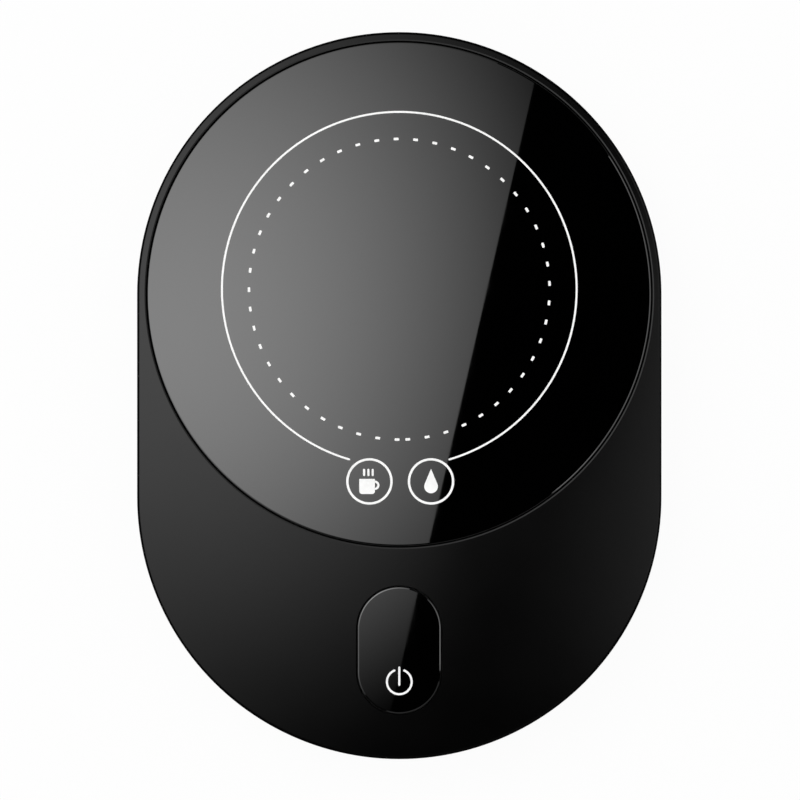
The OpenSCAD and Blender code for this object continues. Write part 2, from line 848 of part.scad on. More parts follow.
module inlet_connector() {
    size = [7, 2.4, 3];
    color("#efeee8") translate([-size[0] / 2, plug_y, z_inlet_top]) cube(size);
}

// Metal sleeve of the socket, closed at the back
module inlet_socket() {
    color(steel) translate([0, socket_front - socket_len, z_inlet]) rotate([-90, 90, 0]) difference() {
        linear_extrude(socket_len) stadium(socket[1], socket[0]);
        translate([0, 0, socket_back]) linear_extrude(socket_len)
            stadium(socket[1] - 2 * socket_wall, socket[0] - 2 * socket_wall);
    }
}

module inlet_tongue() {
    color(chip_black) translate([-tongue[0] / 2, socket_root, z_inlet - tongue[1] / 2])
        cube([tongue[0], tongue_len, tongue[1]]);
}

module inlet_contacts() {
    color("#d8b45a") for (i = [0 : contact_count - 1], side = [0, 1])
        translate([(i - (contact_count - 1) / 2) * contact_step, socket_root + contact_in, z_inlet])
            mirror([0, 0, side]) translate([-contact[0] / 2, 0, tongue[1] / 2]) cube(contact);
}

// ---------------------------------------------------------------- wires

module power_wires() {
    color("#a8332c") for (route = power_routes) wire(route, power_r);
}

module heater_wires() {
    color("#d9d4c8") for (route = heater_routes) wire(route, heater_r);
}

module sensor_wires() {
    color("#3b3f46") for (route = sensor_routes) wire(route, sensor_wire_r);
}

upper_shell();
base_cover();
foot(-1, -1);  // foot_front_left
foot(1, -1);  // foot_front_right
foot(-1, 1);  // foot_rear_left
foot(1, 1);  // foot_rear_right
base_screws();
glass_plate();
plate_markings();
plate_gasket();
heat_spreader();
heater_film();
heater_track();
insulation_pad();
clamp_pan();
clamp_screws();
temperature_sensor();
thermal_fuse();
button_cap();
button_symbol();
light_guide();
button_frame();
frame_screws();
button_spring(-1);  // button_spring_left
button_spring(1);  // button_spring_right
switch_body();
switch_plunger();
control_board();
board_screws();
processor_chip();
power_transistor();
board_capacitor();
chip_resistors();
status_led();
wire_connectors();
inlet_board();
inlet_screws();
inlet_chip();
inlet_connector();
inlet_socket();
inlet_tongue();
inlet_contacts();
power_wires();
heater_wires();
sensor_wires();
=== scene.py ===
"""Electric mug warmer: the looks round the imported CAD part, in its own frame.

Shapes are written in millimetres and scaled to metres when a mesh is made. +Y points to
the rear, where the plate is, and +Z up. The origin is on the table under the middle.
"""

import math

import bmesh
import bpy
from mathutils import Matrix, Vector


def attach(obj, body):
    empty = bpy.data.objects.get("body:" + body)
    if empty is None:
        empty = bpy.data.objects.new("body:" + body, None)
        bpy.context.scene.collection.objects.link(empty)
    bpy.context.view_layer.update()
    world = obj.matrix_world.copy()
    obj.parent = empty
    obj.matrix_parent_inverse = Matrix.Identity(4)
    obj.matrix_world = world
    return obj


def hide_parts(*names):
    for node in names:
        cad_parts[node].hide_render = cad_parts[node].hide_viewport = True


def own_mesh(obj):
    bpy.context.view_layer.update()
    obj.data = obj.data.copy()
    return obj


MM = 0.001

# Housing, as in the CAD
END_R = 52.0
PLATE_Y = 20.1
INNER_R = 49.8
Z_BASE = 1.2
Z_FLOOR = 3.2
Z_BAND = 3.7
Z_SEAM = 4.0
Z_LIP = 5.6
Z_PAN = 11.5
Z_LEDGE_LOW = 14.3
Z_LEDGE = 16.5
Z_PLATE = 17.0
Z_DECK_LOW = 17.6
Z_WELL = 19.1
Z_DECK = 19.8
Z_TOP = 20.0
# The well under the plate keeps this far inside the wall's outer face
SKIN = 1.0
# Lower edge of the wall: (inset, height) of each step
SEAM_EDGE = ((0.5, 0.0), (0.2, 0.12), (0.0, 0.45))
# Soft edge round the deck: (run, slope) of each step from the flat outwards
EDGE_STEPS = ((0.11, 2.5), (0.12, 8), (0.13, 16), (0.12, 24))
# Small round outside it: (run, fall) of each step
EDGE_ROUND = ((0.042, 0.035), (0.06, 0.1))

# Posts, bosses and the holes in them
BOSS_R = 3.5
POST_R = 4.0
SCREW_HOLE_R = 1.52
SCREW_PASS_R = 1.65
Z_SCREW_HOLE = 13.2
ARM_IN = 3.6
ARM_R = 2.5
Z_ARM_HOLE = 15.8
EAR_X = 15.5
EAR_R = 3.2
Z_EAR = 14.8
BOARD_SCREWS = ((-23, 12), (23, 12), (-16, -10), (16, -10))
BOARD_POST_R = 2.75
# Hole for the screws of the boards, the pan and the frame
SMALL_HOLE_R = 1.27
Z_BOARD = 6.0
Z_BOARD_HOLE = 3.7
INLET_SCREWS = ((-8, 56.0), (8, 56.0))
INLET_POST_R = 2.4
INLET_HOLE_R = 1.02
Z_INLET_BOARD = 5.95
Z_INLET_HOLE = 3.85

# Narrow ground or moulded facets: radius of their outer corner, run, slope in degrees
GLASS_FACET = (0.09, 0.19, 4.0)
POCKET_FACET = (0.02, 0.24, 6.0)
CAP_FACET = (0.03, 0.2, 5.5)
# Quarter round of radius 1: how far each point is off the wall and below the face
QUARTER_ROUND = ((0.0, 1.0), (0.13, 0.5), (0.5, 0.13), (1.0, 0.0))
# A flared cutter runs straight on by this share of the flare's radius
FLARE_ON = 0.4

# Plate and its print
PLATE_R = 49.9
POCKET_R = 50.25
WELL_R = 52.45
LEDGE_R = 43.75
# Lower edge of the glass: (inset, height) of each step
GLASS_FOOT = ((0.33, 0.0), (0.03, 0.2), (0.0, 0.4))
PRINT_T = 0.012
RING_Y = 21.08
RING_R = 35.15
RING_STROKE = 0.38
RING_OPEN = 32.8
DASH_R = 29.79
DASH_COUNT = 49
DASH_FIRST = -86.77
DASH_PITCH = 7.415
# Size of a dash along the radius and across it
DASH_SIZE = (0.5, 0.97)
DASH_CORNER = 0.12
BADGE_R = 4.6
BADGE_STROKE = 0.46
BADGE_AT = ((-5.92, -17.0), (6.29, -17.0))
MUG_SIZE = (3.1, 3.0)
MUG_CORNER = 0.55
MUG_AT = (-6.385, -19.5)
HANDLE_R = 0.72
HANDLE_STROKE = 0.42
HANDLE_UP = 1.74
HANDLE_LAP = 0.03
STEAM_SIZE = (0.42, 1.45)
STEAM_X = -6.12
STEAM_STEP = 0.85
STEAM_GAP = 0.55
DROP_AT = (6.29, -18.0)
DROP_R = 1.35
DROP_TIP = 3.5

# Button
CAP_R = 8.2
CAP_HALF = 4.3
CAP_Y = -50.5
CAP_GAP = 0.37
CAP_WALL = 1.4
OPENING_ROUND = 0.05
FLANGE = 1.2
Z_CAP = 19.9
Z_CAP_LOW = 18.5
Z_FLANGE = 17.5
Z_FLANGE_LOW = 16.5
SYMBOL_T = 0.3
SYMBOL_PROUD = 0.01
SYMBOL_Y = -56.73
SYMBOL_R = 2.45
SYMBOL_STROKE = 0.41
SYMBOL_OPEN = 46.6
# Upper and lower end of the bar, from the middle of the ring
SYMBOL_BAR = (3.02, -0.79)
# The cap turns matt between these depths below the deck
MATT_FROM, MATT_TO = 0.8, 0.2
SLEEVE_R = 4.0
# Bore for the light guide: its radius, and the height of its upper end
GUIDE_BORE = (3.25, 19.3)
PIN_X = 4.6
PIN_Y = -46.5
# Lower ends of a pin and of the stem: (radius, height)
PIN_TIP = ((0.9, 12.6), (1.2, 12.9))
STEM_TIP = ((1.2, 13.15), (1.5, 13.4))
Z_SPRING = 14.8
SPRING_R = 1.75
SPRING_TURNS = 5.5
# Turns at each end of a spring that lie close, and their rise in wire thicknesses
CLOSE_TURNS = 0.75
CLOSE_RISE = 0.9
WIRE_R = 0.17

# Base
BAND_R = 51.4
BAND_ROUND = 1.0
BAND_EDGE = 0.15
LIP_R = 49.6
LIP_IN_R = 48.0
LIP_EDGE = 0.2
FOOT_R = 6.0
FOOT_AT = (30.0, 50.0)
FOOT_SEAT_R = 6.1
Z_FOOT_SEAT = 2.0
# Sole with its rings as (radius, height), and the foot's side as (inset, height)
FOOT_SOLE = ((0.8, 0.25), (1.5, 0.25), (1.8, 0.0), (2.6, 0.0), (2.9, 0.25), (3.5, 0.25), (3.8, 0.0))
FOOT_SIDE = ((0.5, 0.0), (0.15, 0.12), (0.0, 0.45), (0.0, 1.6), (0.1, 2.0))
SCREW_AT = (39.0, 38.0)
# Closing screw from its head to its tip, and the middle of its cross, as (radius, height)
SCREW = ((0.9, 1.8), (1.7, 1.88), (2.35, 2.1), (2.7, 2.5), (2.8, 2.9), (2.8, 3.7), (1.5, 3.7),
         (1.5, 12.3), (1.1, 12.7))
CROSS = ((0.5, 1.0), (0.5, 2.9), (0.2, 3.2))
# Wings of the cross: half their length and width at two heights
CROSS_WING = ((1.6, 0.3, 1.0), (0.9, 0.25, 2.9))
WELL_HEAD_R = 3.4
MOUTH_ROUND = 0.25
SEAT_ROUND = 0.2
VENT_COUNT = 7
VENT_STEP = 6.0
VENT_SIZE = (1.8, 24.0)
PLAQUE = (44.0, 20.0)
PLAQUE_Y = -26.0
PLAQUE_CORNER = 2.0
# Edge of the plaque's recess: growth beyond the plaque, and height above the base
PLAQUE_EDGE = ((0.5, -1.0), (0.5, -0.1), (0.0, 0.25), (-0.15, 0.3))
Z_HEAD_WELL = 3.7

# Inlet in the rear wall
INLET_Y = 72.1
Z_INLET = 9.18
# Width, height and depth of the recess for the plug's grip
RECESS = (13.0, 7.0, 1.2)
# Rounded corner of the recess's floor: (inset, height) of each step
RECESS_FOOT = ((0.35, 0.0), (0.1, 0.1), (0.0, 0.35))
RECESS_ROUND = 0.3
# An edge no farther than this from the recess's outline belongs to its mouth
RECESS_NEAR = 0.05
SLOT_SIZE = (9.24, 3.56)
# Slot from inside to its mouth: (growth, height above the recess's floor)
SLOT_MOUTH = ((0.0, -3.0), (0.0, -0.15), (0.05, -0.04), (0.3, 0.12), (0.3, 0.5))

# How far cutters run past a face, and added pieces reach into what they join
PAST = 1.0
SUNK = 0.5
ARC_STEPS = 96
# Angles from which an edge is shaded sharp, and from which it is a corner to bevel
SHARP = math.radians(20)
CORNER = math.radians(30)


# ------------------------------------------------------------------ meshes

def new_object(name, mesh):
    """Object of a mesh, linked into the scene."""
    obj = bpy.data.objects.new(name, mesh)
    bpy.context.collection.objects.link(obj)
    return obj


def mesh_of(name, points, faces):
    """Mesh from points in millimetres."""
    mesh = bpy.data.meshes.new(name)
    mesh.from_pydata([tuple(c * MM for c in p) for p in points], [], faces)
    mesh.update()
    return mesh


def outline(radius, half=0.0, centre=(0.0, 0.0), steps=ARC_STEPS):
    """Anticlockwise points of a stadium along Y, or of a circle when half is 0."""
    x, y = centre
    points = []
    for turn, shift in ((0.0, half), (math.pi, -half)):
        for k in range(steps + (1 if half else 0)):
            a = turn + math.pi * k / steps
            points.append((x + radius * math.cos(a), y + shift + radius * math.sin(a)))
    return points


def stack(name, rings):
    """Closed solid through equal rings of points, from its lower cap to its upper cap."""
    count = len(rings[0])
    faces = [list(reversed(range(count)))]
    for i in range(len(rings) - 1):
        low = i * count
        for k in range(count):
            n = (k + 1) % count
            faces.append((low + k, low + n, low + count + n, low + count + k))
    faces.append(list(range((len(rings) - 1) * count, len(rings) * count)))
    return new_object(name, mesh_of(name, [p for ring in rings for p in ring], faces))


def solid(name, section, half=0.0, centre=(0.0, 0.0), steps=ARC_STEPS):
    """Round or stadium solid; the section lists (radius, height) from cap to cap."""
    return stack(name, [[(x, y, z) for x, y in outline(r, half, centre, steps)]
                        for r, z in section])


def pegs(r, low, high, places, steps=24):
    """Equal upright pegs, one at each place."""
    return [solid("peg", [(r, low), (r, high)], 0.0, at, steps) for at in places]


def merged(name, objs):
    """One object of several meshes."""
    work = bmesh.new()
    for obj in objs:
        work.from_mesh(obj.data)
        bpy.data.objects.remove(obj)
    mesh = bpy.data.meshes.new(name)
    work.to_mesh(mesh)
    work.free()
    return new_object(name, mesh)


def boolean(target, tool, operation):
    """Adds the tool to the target or takes it away, and deletes the tool."""
    modifier = target.modifiers.new(operation, "BOOLEAN")
    modifier.operation = operation
    modifier.solver = "EXACT"
    modifier.object = tool
    shown = target.evaluated_get(bpy.context.evaluated_depsgraph_get())
    mesh = bpy.data.meshes.new_from_object(shown)
    target.modifiers.clear()
    target.data = mesh
    bpy.data.objects.remove(tool)


def cut(target, *tools):
    """Takes the tools away from the target; the tools may not overlap."""
    boolean(target, merged("tool", tools), "DIFFERENCE")


def add(target, *tools):
    """Adds the tools to the target; the tools may not overlap."""
    boolean(target, merged("tool", tools), "UNION")


def turned(obj, matrix):
    """The object with its mesh turned by a matrix."""
    obj.data.transform(matrix)
    return obj


def flare(r, z, f, up=1):
    """End of a cutter that opens through a flat face at z with a rounded edge of radius f."""
    turns = [math.radians(degrees) for degrees in range(0, 90, 15)]
    points = [(r + f - f * math.cos(a), z - up * (f - f * math.sin(a))) for a in turns]
    x, y = points[-1]
    x += FLARE_ON * f * math.tan(turns[-1])
    return points + [(x, y + up * FLARE_ON * f), (x, z + up * PAST)]


def facet_fall(facet):
    """How far a facet comes down from the flat face."""
    _, run, slope = facet
    return run * math.tan(math.radians(slope))


def quarter_round(r, z, f):
    """Quarter round from the wall at r to the face at z; inwards where f is negative."""
    return [(r + f * off, z - abs(f) * below) for off, below in QUARTER_ROUND]


def facet_flare(r, z, facet):
    """End of a cutter that opens through a flat face at z with a fillet and a facet."""
    f, run, _ = facet
    fall = facet_fall(facet)
    low = z - fall
    wide = r + f + 2 * run
    return quarter_round(r, low, f) + [(wide, low + 2 * fall), (wide, z + PAST)]


def facet_edge(r, z, facet):
    """Outer edge of a solid up to its flat top at z: a fillet, then a facet."""
    f, run, _ = facet
    return quarter_round(r, z - facet_fall(facet), -f) + [(r - f - run, z)]


def crease(obj, *heights):
    """Keeps the edges that run level at these heights, in millimetres, sharp."""
    mesh = obj.data
    zs = [v.co.z / MM for v in mesh.vertices]
    for edge in mesh.edges:
        a, b = edge.vertices
        if any(abs(zs[a] - h) < 1e-3 and abs(zs[b] - h) < 1e-3 for h in heights):
            edge.use_edge_sharp = True


def low_round(r, z, f, steps=6):
    """Arc of radius f from a flat underside at z out to the wall at r."""
    turns = [math.pi / 2 * k / steps for k in range(steps, -1, -1)]
    return [(r - f + f * math.cos(a), z + f - f * math.sin(a)) for a in turns]


def soften(obj, wanted, width, segments):
    """Bevels the sharp edges whose middle, in millimetres, is wanted."""
    work = bmesh.new()
    work.from_mesh(obj.data)
    edges = []
    for edge in work.edges:
        middle = (edge.verts[0].co + edge.verts[1].co) / 2 / MM
        if len(edge.link_faces) == 2 and edge.calc_face_angle() > CORNER and wanted(middle):
            edges.append(edge)
    bmesh.ops.bevel(work, geom=edges, offset=width * MM, segments=segments, profile=0.5,
                    affect="EDGES", clamp_overlap=True)
    work.to_mesh(obj.data)
    work.free()


def finish_mesh(obj, material, slot, body, *nodes, sharp=SHARP):
    """Shades the mesh, gives it its material, hangs it on its body and hides the CAD nodes that it
    stands for.
    """
    mesh = obj.data
    mesh.polygons.foreach_set("use_smooth", [True] * len(mesh.polygons))
    mesh.set_sharp_from_angle(angle=sharp)
    weighted = obj.modifiers.new("normals", "WEIGHTED_NORMAL")
    weighted.keep_sharp = True
    mesh.materials.clear()
    mesh.materials.append(material)
    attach(obj, body)
    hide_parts(*nodes)


# ------------------------------------------------------------------ flat print

def arc(centre, r, start, end, steps):
    """Points of an arc between two angles in degrees."""
    points = []
    for k in range(steps + 1):
        a = math.radians(start + (end - start) * k / steps)
        points.append((centre[0] + r * math.cos(a), centre[1] + r * math.sin(a)))
    return points


def open_ring(centre, r, stroke, start, end, steps):
    """Outline of a stroke along an arc, with round ends."""
    half = stroke / 2
    ends = []
    for angle, turn in ((end, 0), (start, 180)):
        a = math.radians(angle)
        middle = (centre[0] + r * math.cos(a), centre[1] + r * math.sin(a))
        ends.append(arc(middle, half, angle + turn, angle + turn + 180, 10)[1:-1])
    outer = arc(centre, r + half, start, end, steps)
    inner = arc(centre, r - half, end, start, steps)
    return outer + ends[0] + inner + ends[1]


def capsule(centre, w, h):
    """Outline of an upright stroke with round ends."""
    r = w / 2
    x, y = centre
    return arc((x, y + h / 2 - r), r, 0, 180, 12) + arc((x, y - h / 2 + r), r, 180, 360, 12)


def rounded_polygon(corners, r, steps=8):
    """Outline with its corners rounded; the corners run anticlockwise."""
    points = []
    count = len(corners)
    for i in range(count):
        before = Vector(corners[i - 1])
        here = Vector(corners[i])
        after = Vector(corners[(i + 1) % count])
        to_before = (before - here).normalized()
        to_after = (after - here).normalized()
        half_angle = to_before.angle(to_after) / 2
        centre = here + (to_before + to_after).normalized() * (r / math.sin(half_angle))
        first = here + to_before * (r / math.tan(half_angle)) - centre
        sweep = math.pi - 2 * half_angle
        for k in range(steps + 1):
            spin = Matrix.Rotation(sweep * k / steps, 2)
            points.append(tuple(centre + spin @ first))
    return points


def print_mesh(name, outlines, low, high):
    """Thin solid between two heights; an outline inside another is a hole."""
    curve = bpy.data.curves.new(name, "CURVE")
    curve.dimensions = "2D"
    curve.fill_mode = "BOTH"
    curve.extrude = (high - low) / 2 * MM
    for points in outlines:
        spline = curve.splines.new("POLY")
        spline.points.add(len(points) - 1)
        for point, (x, y) in zip(spline.points, points):
            point.co = (x * MM, y * MM, 0.0, 1.0)
        spline.use_cyclic_u = True
    source = new_object(name + "_curve", curve)
    shown = source.evaluated_get(bpy.context.evaluated_depsgraph_get())
    mesh = bpy.data.meshes.new_from_object(shown)
    bpy.data.objects.remove(source)
    mesh.transform(Matrix.Translation((0, 0, (low + high) / 2 * MM)))
    work = bmesh.new()
    work.from_mesh(mesh)
    bmesh.ops.remove_doubles(work, verts=work.verts, dist=1e-7)
    work.to_mesh(mesh)
    work.free()
    return new_object(name, mesh)


def mug_outlines():
    """A filled mug with three strokes of steam, and its handle, which laps into it."""
    w, h = MUG_SIZE
    left, right = MUG_AT[0] - w / 2, MUG_AT[0] + w / 2
    low, top = MUG_AT[1], MUG_AT[1] + h
    r = MUG_CORNER
    cup = [(left, top)] + arc((left + r, low + r), r, 180, 270, 8)
    cup += arc((right - r, low + r), r, 270, 360, 8) + [(right, top)]
    middle = (right - HANDLE_LAP, low + HANDLE_UP)
    outer, inner = HANDLE_R + HANDLE_STROKE / 2, HANDLE_R - HANDLE_STROKE / 2
    handle = arc(middle, outer, -90, 90, 16) + arc(middle, inner, 90, -90, 16)
    steam_y = top + STEAM_GAP + STEAM_SIZE[1] / 2
    steam = [capsule((STEAM_X + i * STEAM_STEP, steam_y), *STEAM_SIZE) for i in (-1, 0, 1)]
    return [cup, *steam], [handle]


def drop_outline():
    """A drop with its point up."""
    x, y = DROP_AT
    lean = math.degrees(math.acos(DROP_R / DROP_TIP))
    return [(x, y + DROP_TIP)] + arc(DROP_AT, DROP_R, 90 + lean, 450 - lean, 28)


# ------------------------------------------------------------------ materials

class Tree:
    """A node tree under construction."""

    def __init__(self, tree):
        self.tree = tree

    def feed(self, socket, value):
        """Links an output to an input, or gives the input a plain value."""
        if isinstance(value, bpy.types.NodeSocket):
            self.tree.links.new(value, socket)
        else:
            socket.default_value = value

    def node(self, kind, inputs=None, **settings):
        """New shader node; its inputs go by name or by number."""
        made = self.tree.nodes.new("ShaderNode" + kind)
        for key, value in settings.items():
            setattr(made, key, value)
        for key, value in (inputs or {}).items():
            self.feed(made.inputs[key], value)
        return made

    def math(self, operation, a, b):
        """Result of an operation on two numbers or outputs."""
        return self.node("Math", {0: a, 1: b}, operation=operation).outputs[0]

    def vector(self, operation, a, b=None):
        """Result of a vector operation; b is a vector, or the factor that scales a."""
        inputs = {0: a}
        if b is not None:
            inputs["Scale" if operation == "SCALE" else 1] = b
        made = self.node("VectorMath", inputs, operation=operation)
        return made.outputs["Value" if operation == "LENGTH" else "Vector"]

    def split(self, vector):
        """The three parts of a vector."""
        return self.node("SeparateXYZ", {0: vector}).outputs

    def mixed(self, share, first, second):
        """Mix of the shaders of two nodes; a share of 1 is all the second."""
        return self.node("MixShader", {0: share, 1: first.outputs[0], 2: second.outputs[0]})


class Look(Tree):
    """A material under construction: one Principled shader and what feeds it."""

    def __init__(self, name, colour, roughness, metallic=0.0, **sockets):
        self.material = bpy.data.materials.new(name)
        self.material.use_nodes = True
        super().__init__(self.material.node_tree)
        self.shader = self.tree.nodes["Principled BSDF"]
        self.shade("Base Color", (*colour, 1.0))
        self.shade("Roughness", roughness)
        self.shade("Metallic", metallic)
        for socket, value in sockets.items():
            self.shade(socket.replace("_", " "), value)
        self.place = self.node("TexCoord").outputs["Object"]

    def shade(self, socket, value):
        """Feeds one of the shader's inputs."""
        self.feed(self.shader.inputs[socket], value)

    def noise(self, grain, detail=3.0, stretch=None, rough=0.55):
        """Noise whose grains are about this many millimetres."""
        place = self.place
        if stretch:
            place = self.node("Mapping", {"Scale": stretch, "Vector": place}).outputs["Vector"]
        return self.node("TexNoise", {"Scale": 1 / (grain * MM), "Detail": detail,
                                      "Roughness": rough, "Vector": place}).outputs["Fac"]

    def cells(self, grain):
        """Cell pattern whose cells are about this many millimetres: its outputs."""
        return self.node("TexVoronoi", {"Scale": 1 / (grain * MM), "Vector": self.place}).outputs

    def spread(self, source, low, high, start=0.3, end=0.7):
        """The source, stretched to run from low to high."""
        return self.node("MapRange", {"Value": source, "From Min": start, "From Max": end,
                                      "To Min": low, "To Max": high}).outputs["Result"]

    def roughness(self, source, low, high):
        """Roughness that follows the source."""
        self.shade("Roughness", self.spread(source, low, high))

    def colours(self, source, *stops):
        """Colours the shader by the source; a stop is (position, colour)."""
        ramp = self.node("ValToRGB", {"Fac": source})
        elements = ramp.color_ramp.elements
        elements[0].position, elements[0].color = stops[0][0], (*stops[0][1], 1.0)
        elements[1].position, elements[1].color = stops[-1][0], (*stops[-1][1], 1.0)
        for position, colour in stops[1:-1]:
            elements.new(position).color = (*colour, 1.0)
        self.shade("Base Color", ramp.outputs["Color"])

    def bump(self, source, depth):
        """Relief of this depth in millimetres."""
        relief = self.node("Bump", {"Distance": depth * MM, "Height": source})
        self.shade("Normal", relief.outputs["Normal"])


def tint(colour, factor):
    """The colour made lighter or darker."""
    return tuple(min(1.0, c * factor) for c in colour)


def moulded(name, colour, rough, grain, depth, **sockets):
    """Moulded plastic, rubber or enamel with a fine tooled texture."""
    look = Look(name, colour, sum(rough) / 2, **sockets)
    broad = look.noise(grain * 30, 4.0)
    fine = look.noise(grain, 2.0)
    look.colours(broad, (0.3, tint(colour, 0.92)), (0.7, tint(colour, 1.08)))
    look.roughness(broad, *rough)
    look.bump(fine, depth)
    return look.material


def metal(name, colour, rough, stretch=None, grain=0.4, depth=0.002):
    """Bare metal with drawn or brushed lines along the axis that is stretched."""
    look = Look(name, colour, sum(rough) / 2, 1.0)
    lines = look.noise(grain, 5.0, stretch)
    look.colours(lines, (0.3, tint(colour, 0.85)), (0.7, tint(colour, 1.1)))
    look.roughness(lines, *rough)
    look.bump(lines, depth)
    return look.material


def spangled_steel(name):
    """Zinc-coated sheet with its crystal pattern."""
    look = Look(name, (0.5, 0.52, 0.54), 0.4, 1.0)
    crystals = look.cells(2.5)["Color"]
    look.colours(crystals, (0.2, (0.40, 0.42, 0.44)), (0.8, (0.60, 0.62, 0.64)))
    look.roughness(look.noise(0.5, 4.0), 0.3, 0.5)
    look.bump(look.noise(0.3, 3.0), 0.003)
    return look.material


def fibre_board(name):
    """Pressed ceramic fibre."""
    look = Look(name, (0.78, 0.76, 0.7), 0.95)
    strands = look.noise(0.35, 8.0, (1.0, 4.0, 1.0), 0.7)
    look.colours(strands, (0.3, (0.66, 0.64, 0.57)), (0.7, (0.86, 0.84, 0.79)))
    look.bump(strands, 0.08)
    return look.material


def solder_mask(name):
    """Green board with tracks that show through the mask."""
    look = Look(name, (0.012, 0.09, 0.035), 0.3, Coat_Weight=0.3)
    tracks = look.node("TexBrick", {
        "Vector": look.place, "Scale": 90.0,
        "Mortar Size": 0.07, "Mortar": (0.03, 0.19, 0.075, 1.0),
        "Color1": (0.010, 0.075, 0.028, 1.0), "Color2": (0.014, 0.085, 0.034, 1.0)})
    look.shade("Base Color", tracks.outputs["Color"])
    look.roughness(look.noise(1.5), 0.25, 0.4)
    look.bump(tracks.outputs["Fac"], 0.03)
    return look.material


def black_glass(name):
    """Glass, black underneath, with the faintest film of handling on it."""
    look = Look(name, (0.0002, 0.0002, 0.0002), 0.012, IOR=1.5)
    film = look.noise(9.0, 4.0, rough=0.6)
    look.roughness(film, 0.008, 0.018)
    look.colours(look.noise(30.0, 2.0), (0.3, (0.0001, 0.0001, 0.00012)),
                 (0.7, (0.0002, 0.0002, 0.00022)))
    return look.material


def piano_black(name):
    """Button, polished on top with traces of wiping and matt below the deck."""
    look = Look(name, (0.0002, 0.0002, 0.0002), 0.02, Specular_IOR_Level=0.56)
    wiped = look.spread(look.noise(2.0, 5.0, (1.0, 0.25, 1.0)), 0.01, 0.025)
    height = look.split(look.place)["Z"]
    matt = look.spread(height, 0.7, 0.0, (Z_DECK - MATT_FROM) * MM, (Z_DECK - MATT_TO) * MM)
    look.shade("Roughness", look.math("MAXIMUM", wiped, matt))
    look.colours(look.noise(12.0), (0.3, (0.0001, 0.0001, 0.0001)), (0.7, (0.0003, 0.0003, 0.0003)))
    look.bump(look.noise(0.8, 2.0), 0.00005)
    return look.material


def satin_black(name):
    """Housing: satin black plastic with a very fine eroded grain."""
    look = Look(name, (0.0002, 0.0002, 0.0002), 0.13, Specular_IOR_Level=0.15)
    broad = look.noise(14.0, 3.0)
    grain = look.noise(0.12, 2.0)
    look.colours(broad, (0.3, (0.00015, 0.00015, 0.00015)), (0.7, (0.00025, 0.00025, 0.00025)))
    look.roughness(broad, 0.125, 0.14)
    look.bump(grain, 0.0006)
    return look.material


def clear_plastic(name):
    """Clear light guide, frosted a little."""
    look = Look(name, (0.93, 0.96, 0.98), 0.15, Transmission_Weight=1.0, IOR=1.58)
    look.roughness(look.noise(0.5), 0.08, 0.25)
    look.bump(look.noise(0.6), 0.004)
    return look.material


def speckled(name, colour, spot, grain, rough):
    """Moulding compound or ceramic with fine specks."""
    look = Look(name, colour, rough)
    specks = look.cells(grain)["Distance"]
    look.colours(specks, (0.0, spot), (0.35, colour), (1.0, tint(colour, 1.15)))
    look.roughness(look.noise(grain * 3), rough - 0.06, rough + 0.08)
    look.bump(look.noise(grain, 3.0), 0.01)
    return look.material


# Moulded pieces: colour, range of roughness, grain and depth of the texture
MOULDED = {
    "base_plastic": ((0.008, 0.008, 0.0085), (0.5, 0.55), 0.35, 0.02),
    "white_enamel": ((0.93, 0.93, 0.92), (0.3, 0.45), 0.1, 0.001),
    "symbol_white": ((0.93, 0.93, 0.93), (0.3, 0.4), 0.1, 0.001),
    "foot_rubber": ((0.03, 0.03, 0.031), (0.7, 0.9), 0.25, 0.02),
    "seal_silicone": ((0.002, 0.002, 0.002), (0.6, 0.75), 0.2, 0.004),
    "plunger_plastic": ((0.72, 0.69, 0.6), (0.3, 0.4), 0.2, 0.003),
    "connector_nylon": ((0.82, 0.8, 0.74), (0.35, 0.5), 0.25, 0.006),
    "led_lens": ((0.9, 0.9, 0.8), (0.15, 0.25), 0.3, 0.002),
    "heater_film": ((0.42, 0.15, 0.02), (0.2, 0.35), 0.6, 0.004),
    "wire_red": ((0.45, 0.02, 0.015), (0.3, 0.45), 0.3, 0.004),
    "wire_white": ((0.75, 0.72, 0.65), (0.35, 0.5), 0.3, 0.004),
    "wire_grey": ((0.05, 0.055, 0.065), (0.35, 0.5), 0.3, 0.004),
}
# Further inputs of their shaders
MOULDED_EXTRAS = {
    "seal_silicone": {"Specular_IOR_Level": 0.1},
    "led_lens": {"Transmission_Weight": 0.4},
    "heater_film": {"Coat_Weight": 0.3},
}
# Speckled pieces: colour, colour of the specks, their size and the roughness
SPECKLED = {
    "frame_plastic": ((0.02, 0.02, 0.022), (0.06, 0.06, 0.06), 0.4, 0.5),
    "tongue_plastic": ((0.012, 0.012, 0.013), (0.04, 0.04, 0.04), 0.15, 0.35),
    "component_black": ((0.015, 0.015, 0.017), (0.05, 0.05, 0.05), 0.12, 0.6),
    "resistor_ceramic": ((0.02, 0.018, 0.017), (0.5, 0.5, 0.48), 0.3, 0.4),
    "sensor_ceramic": ((0.6, 0.56, 0.48), (0.45, 0.4, 0.33), 0.3, 0.5),
}
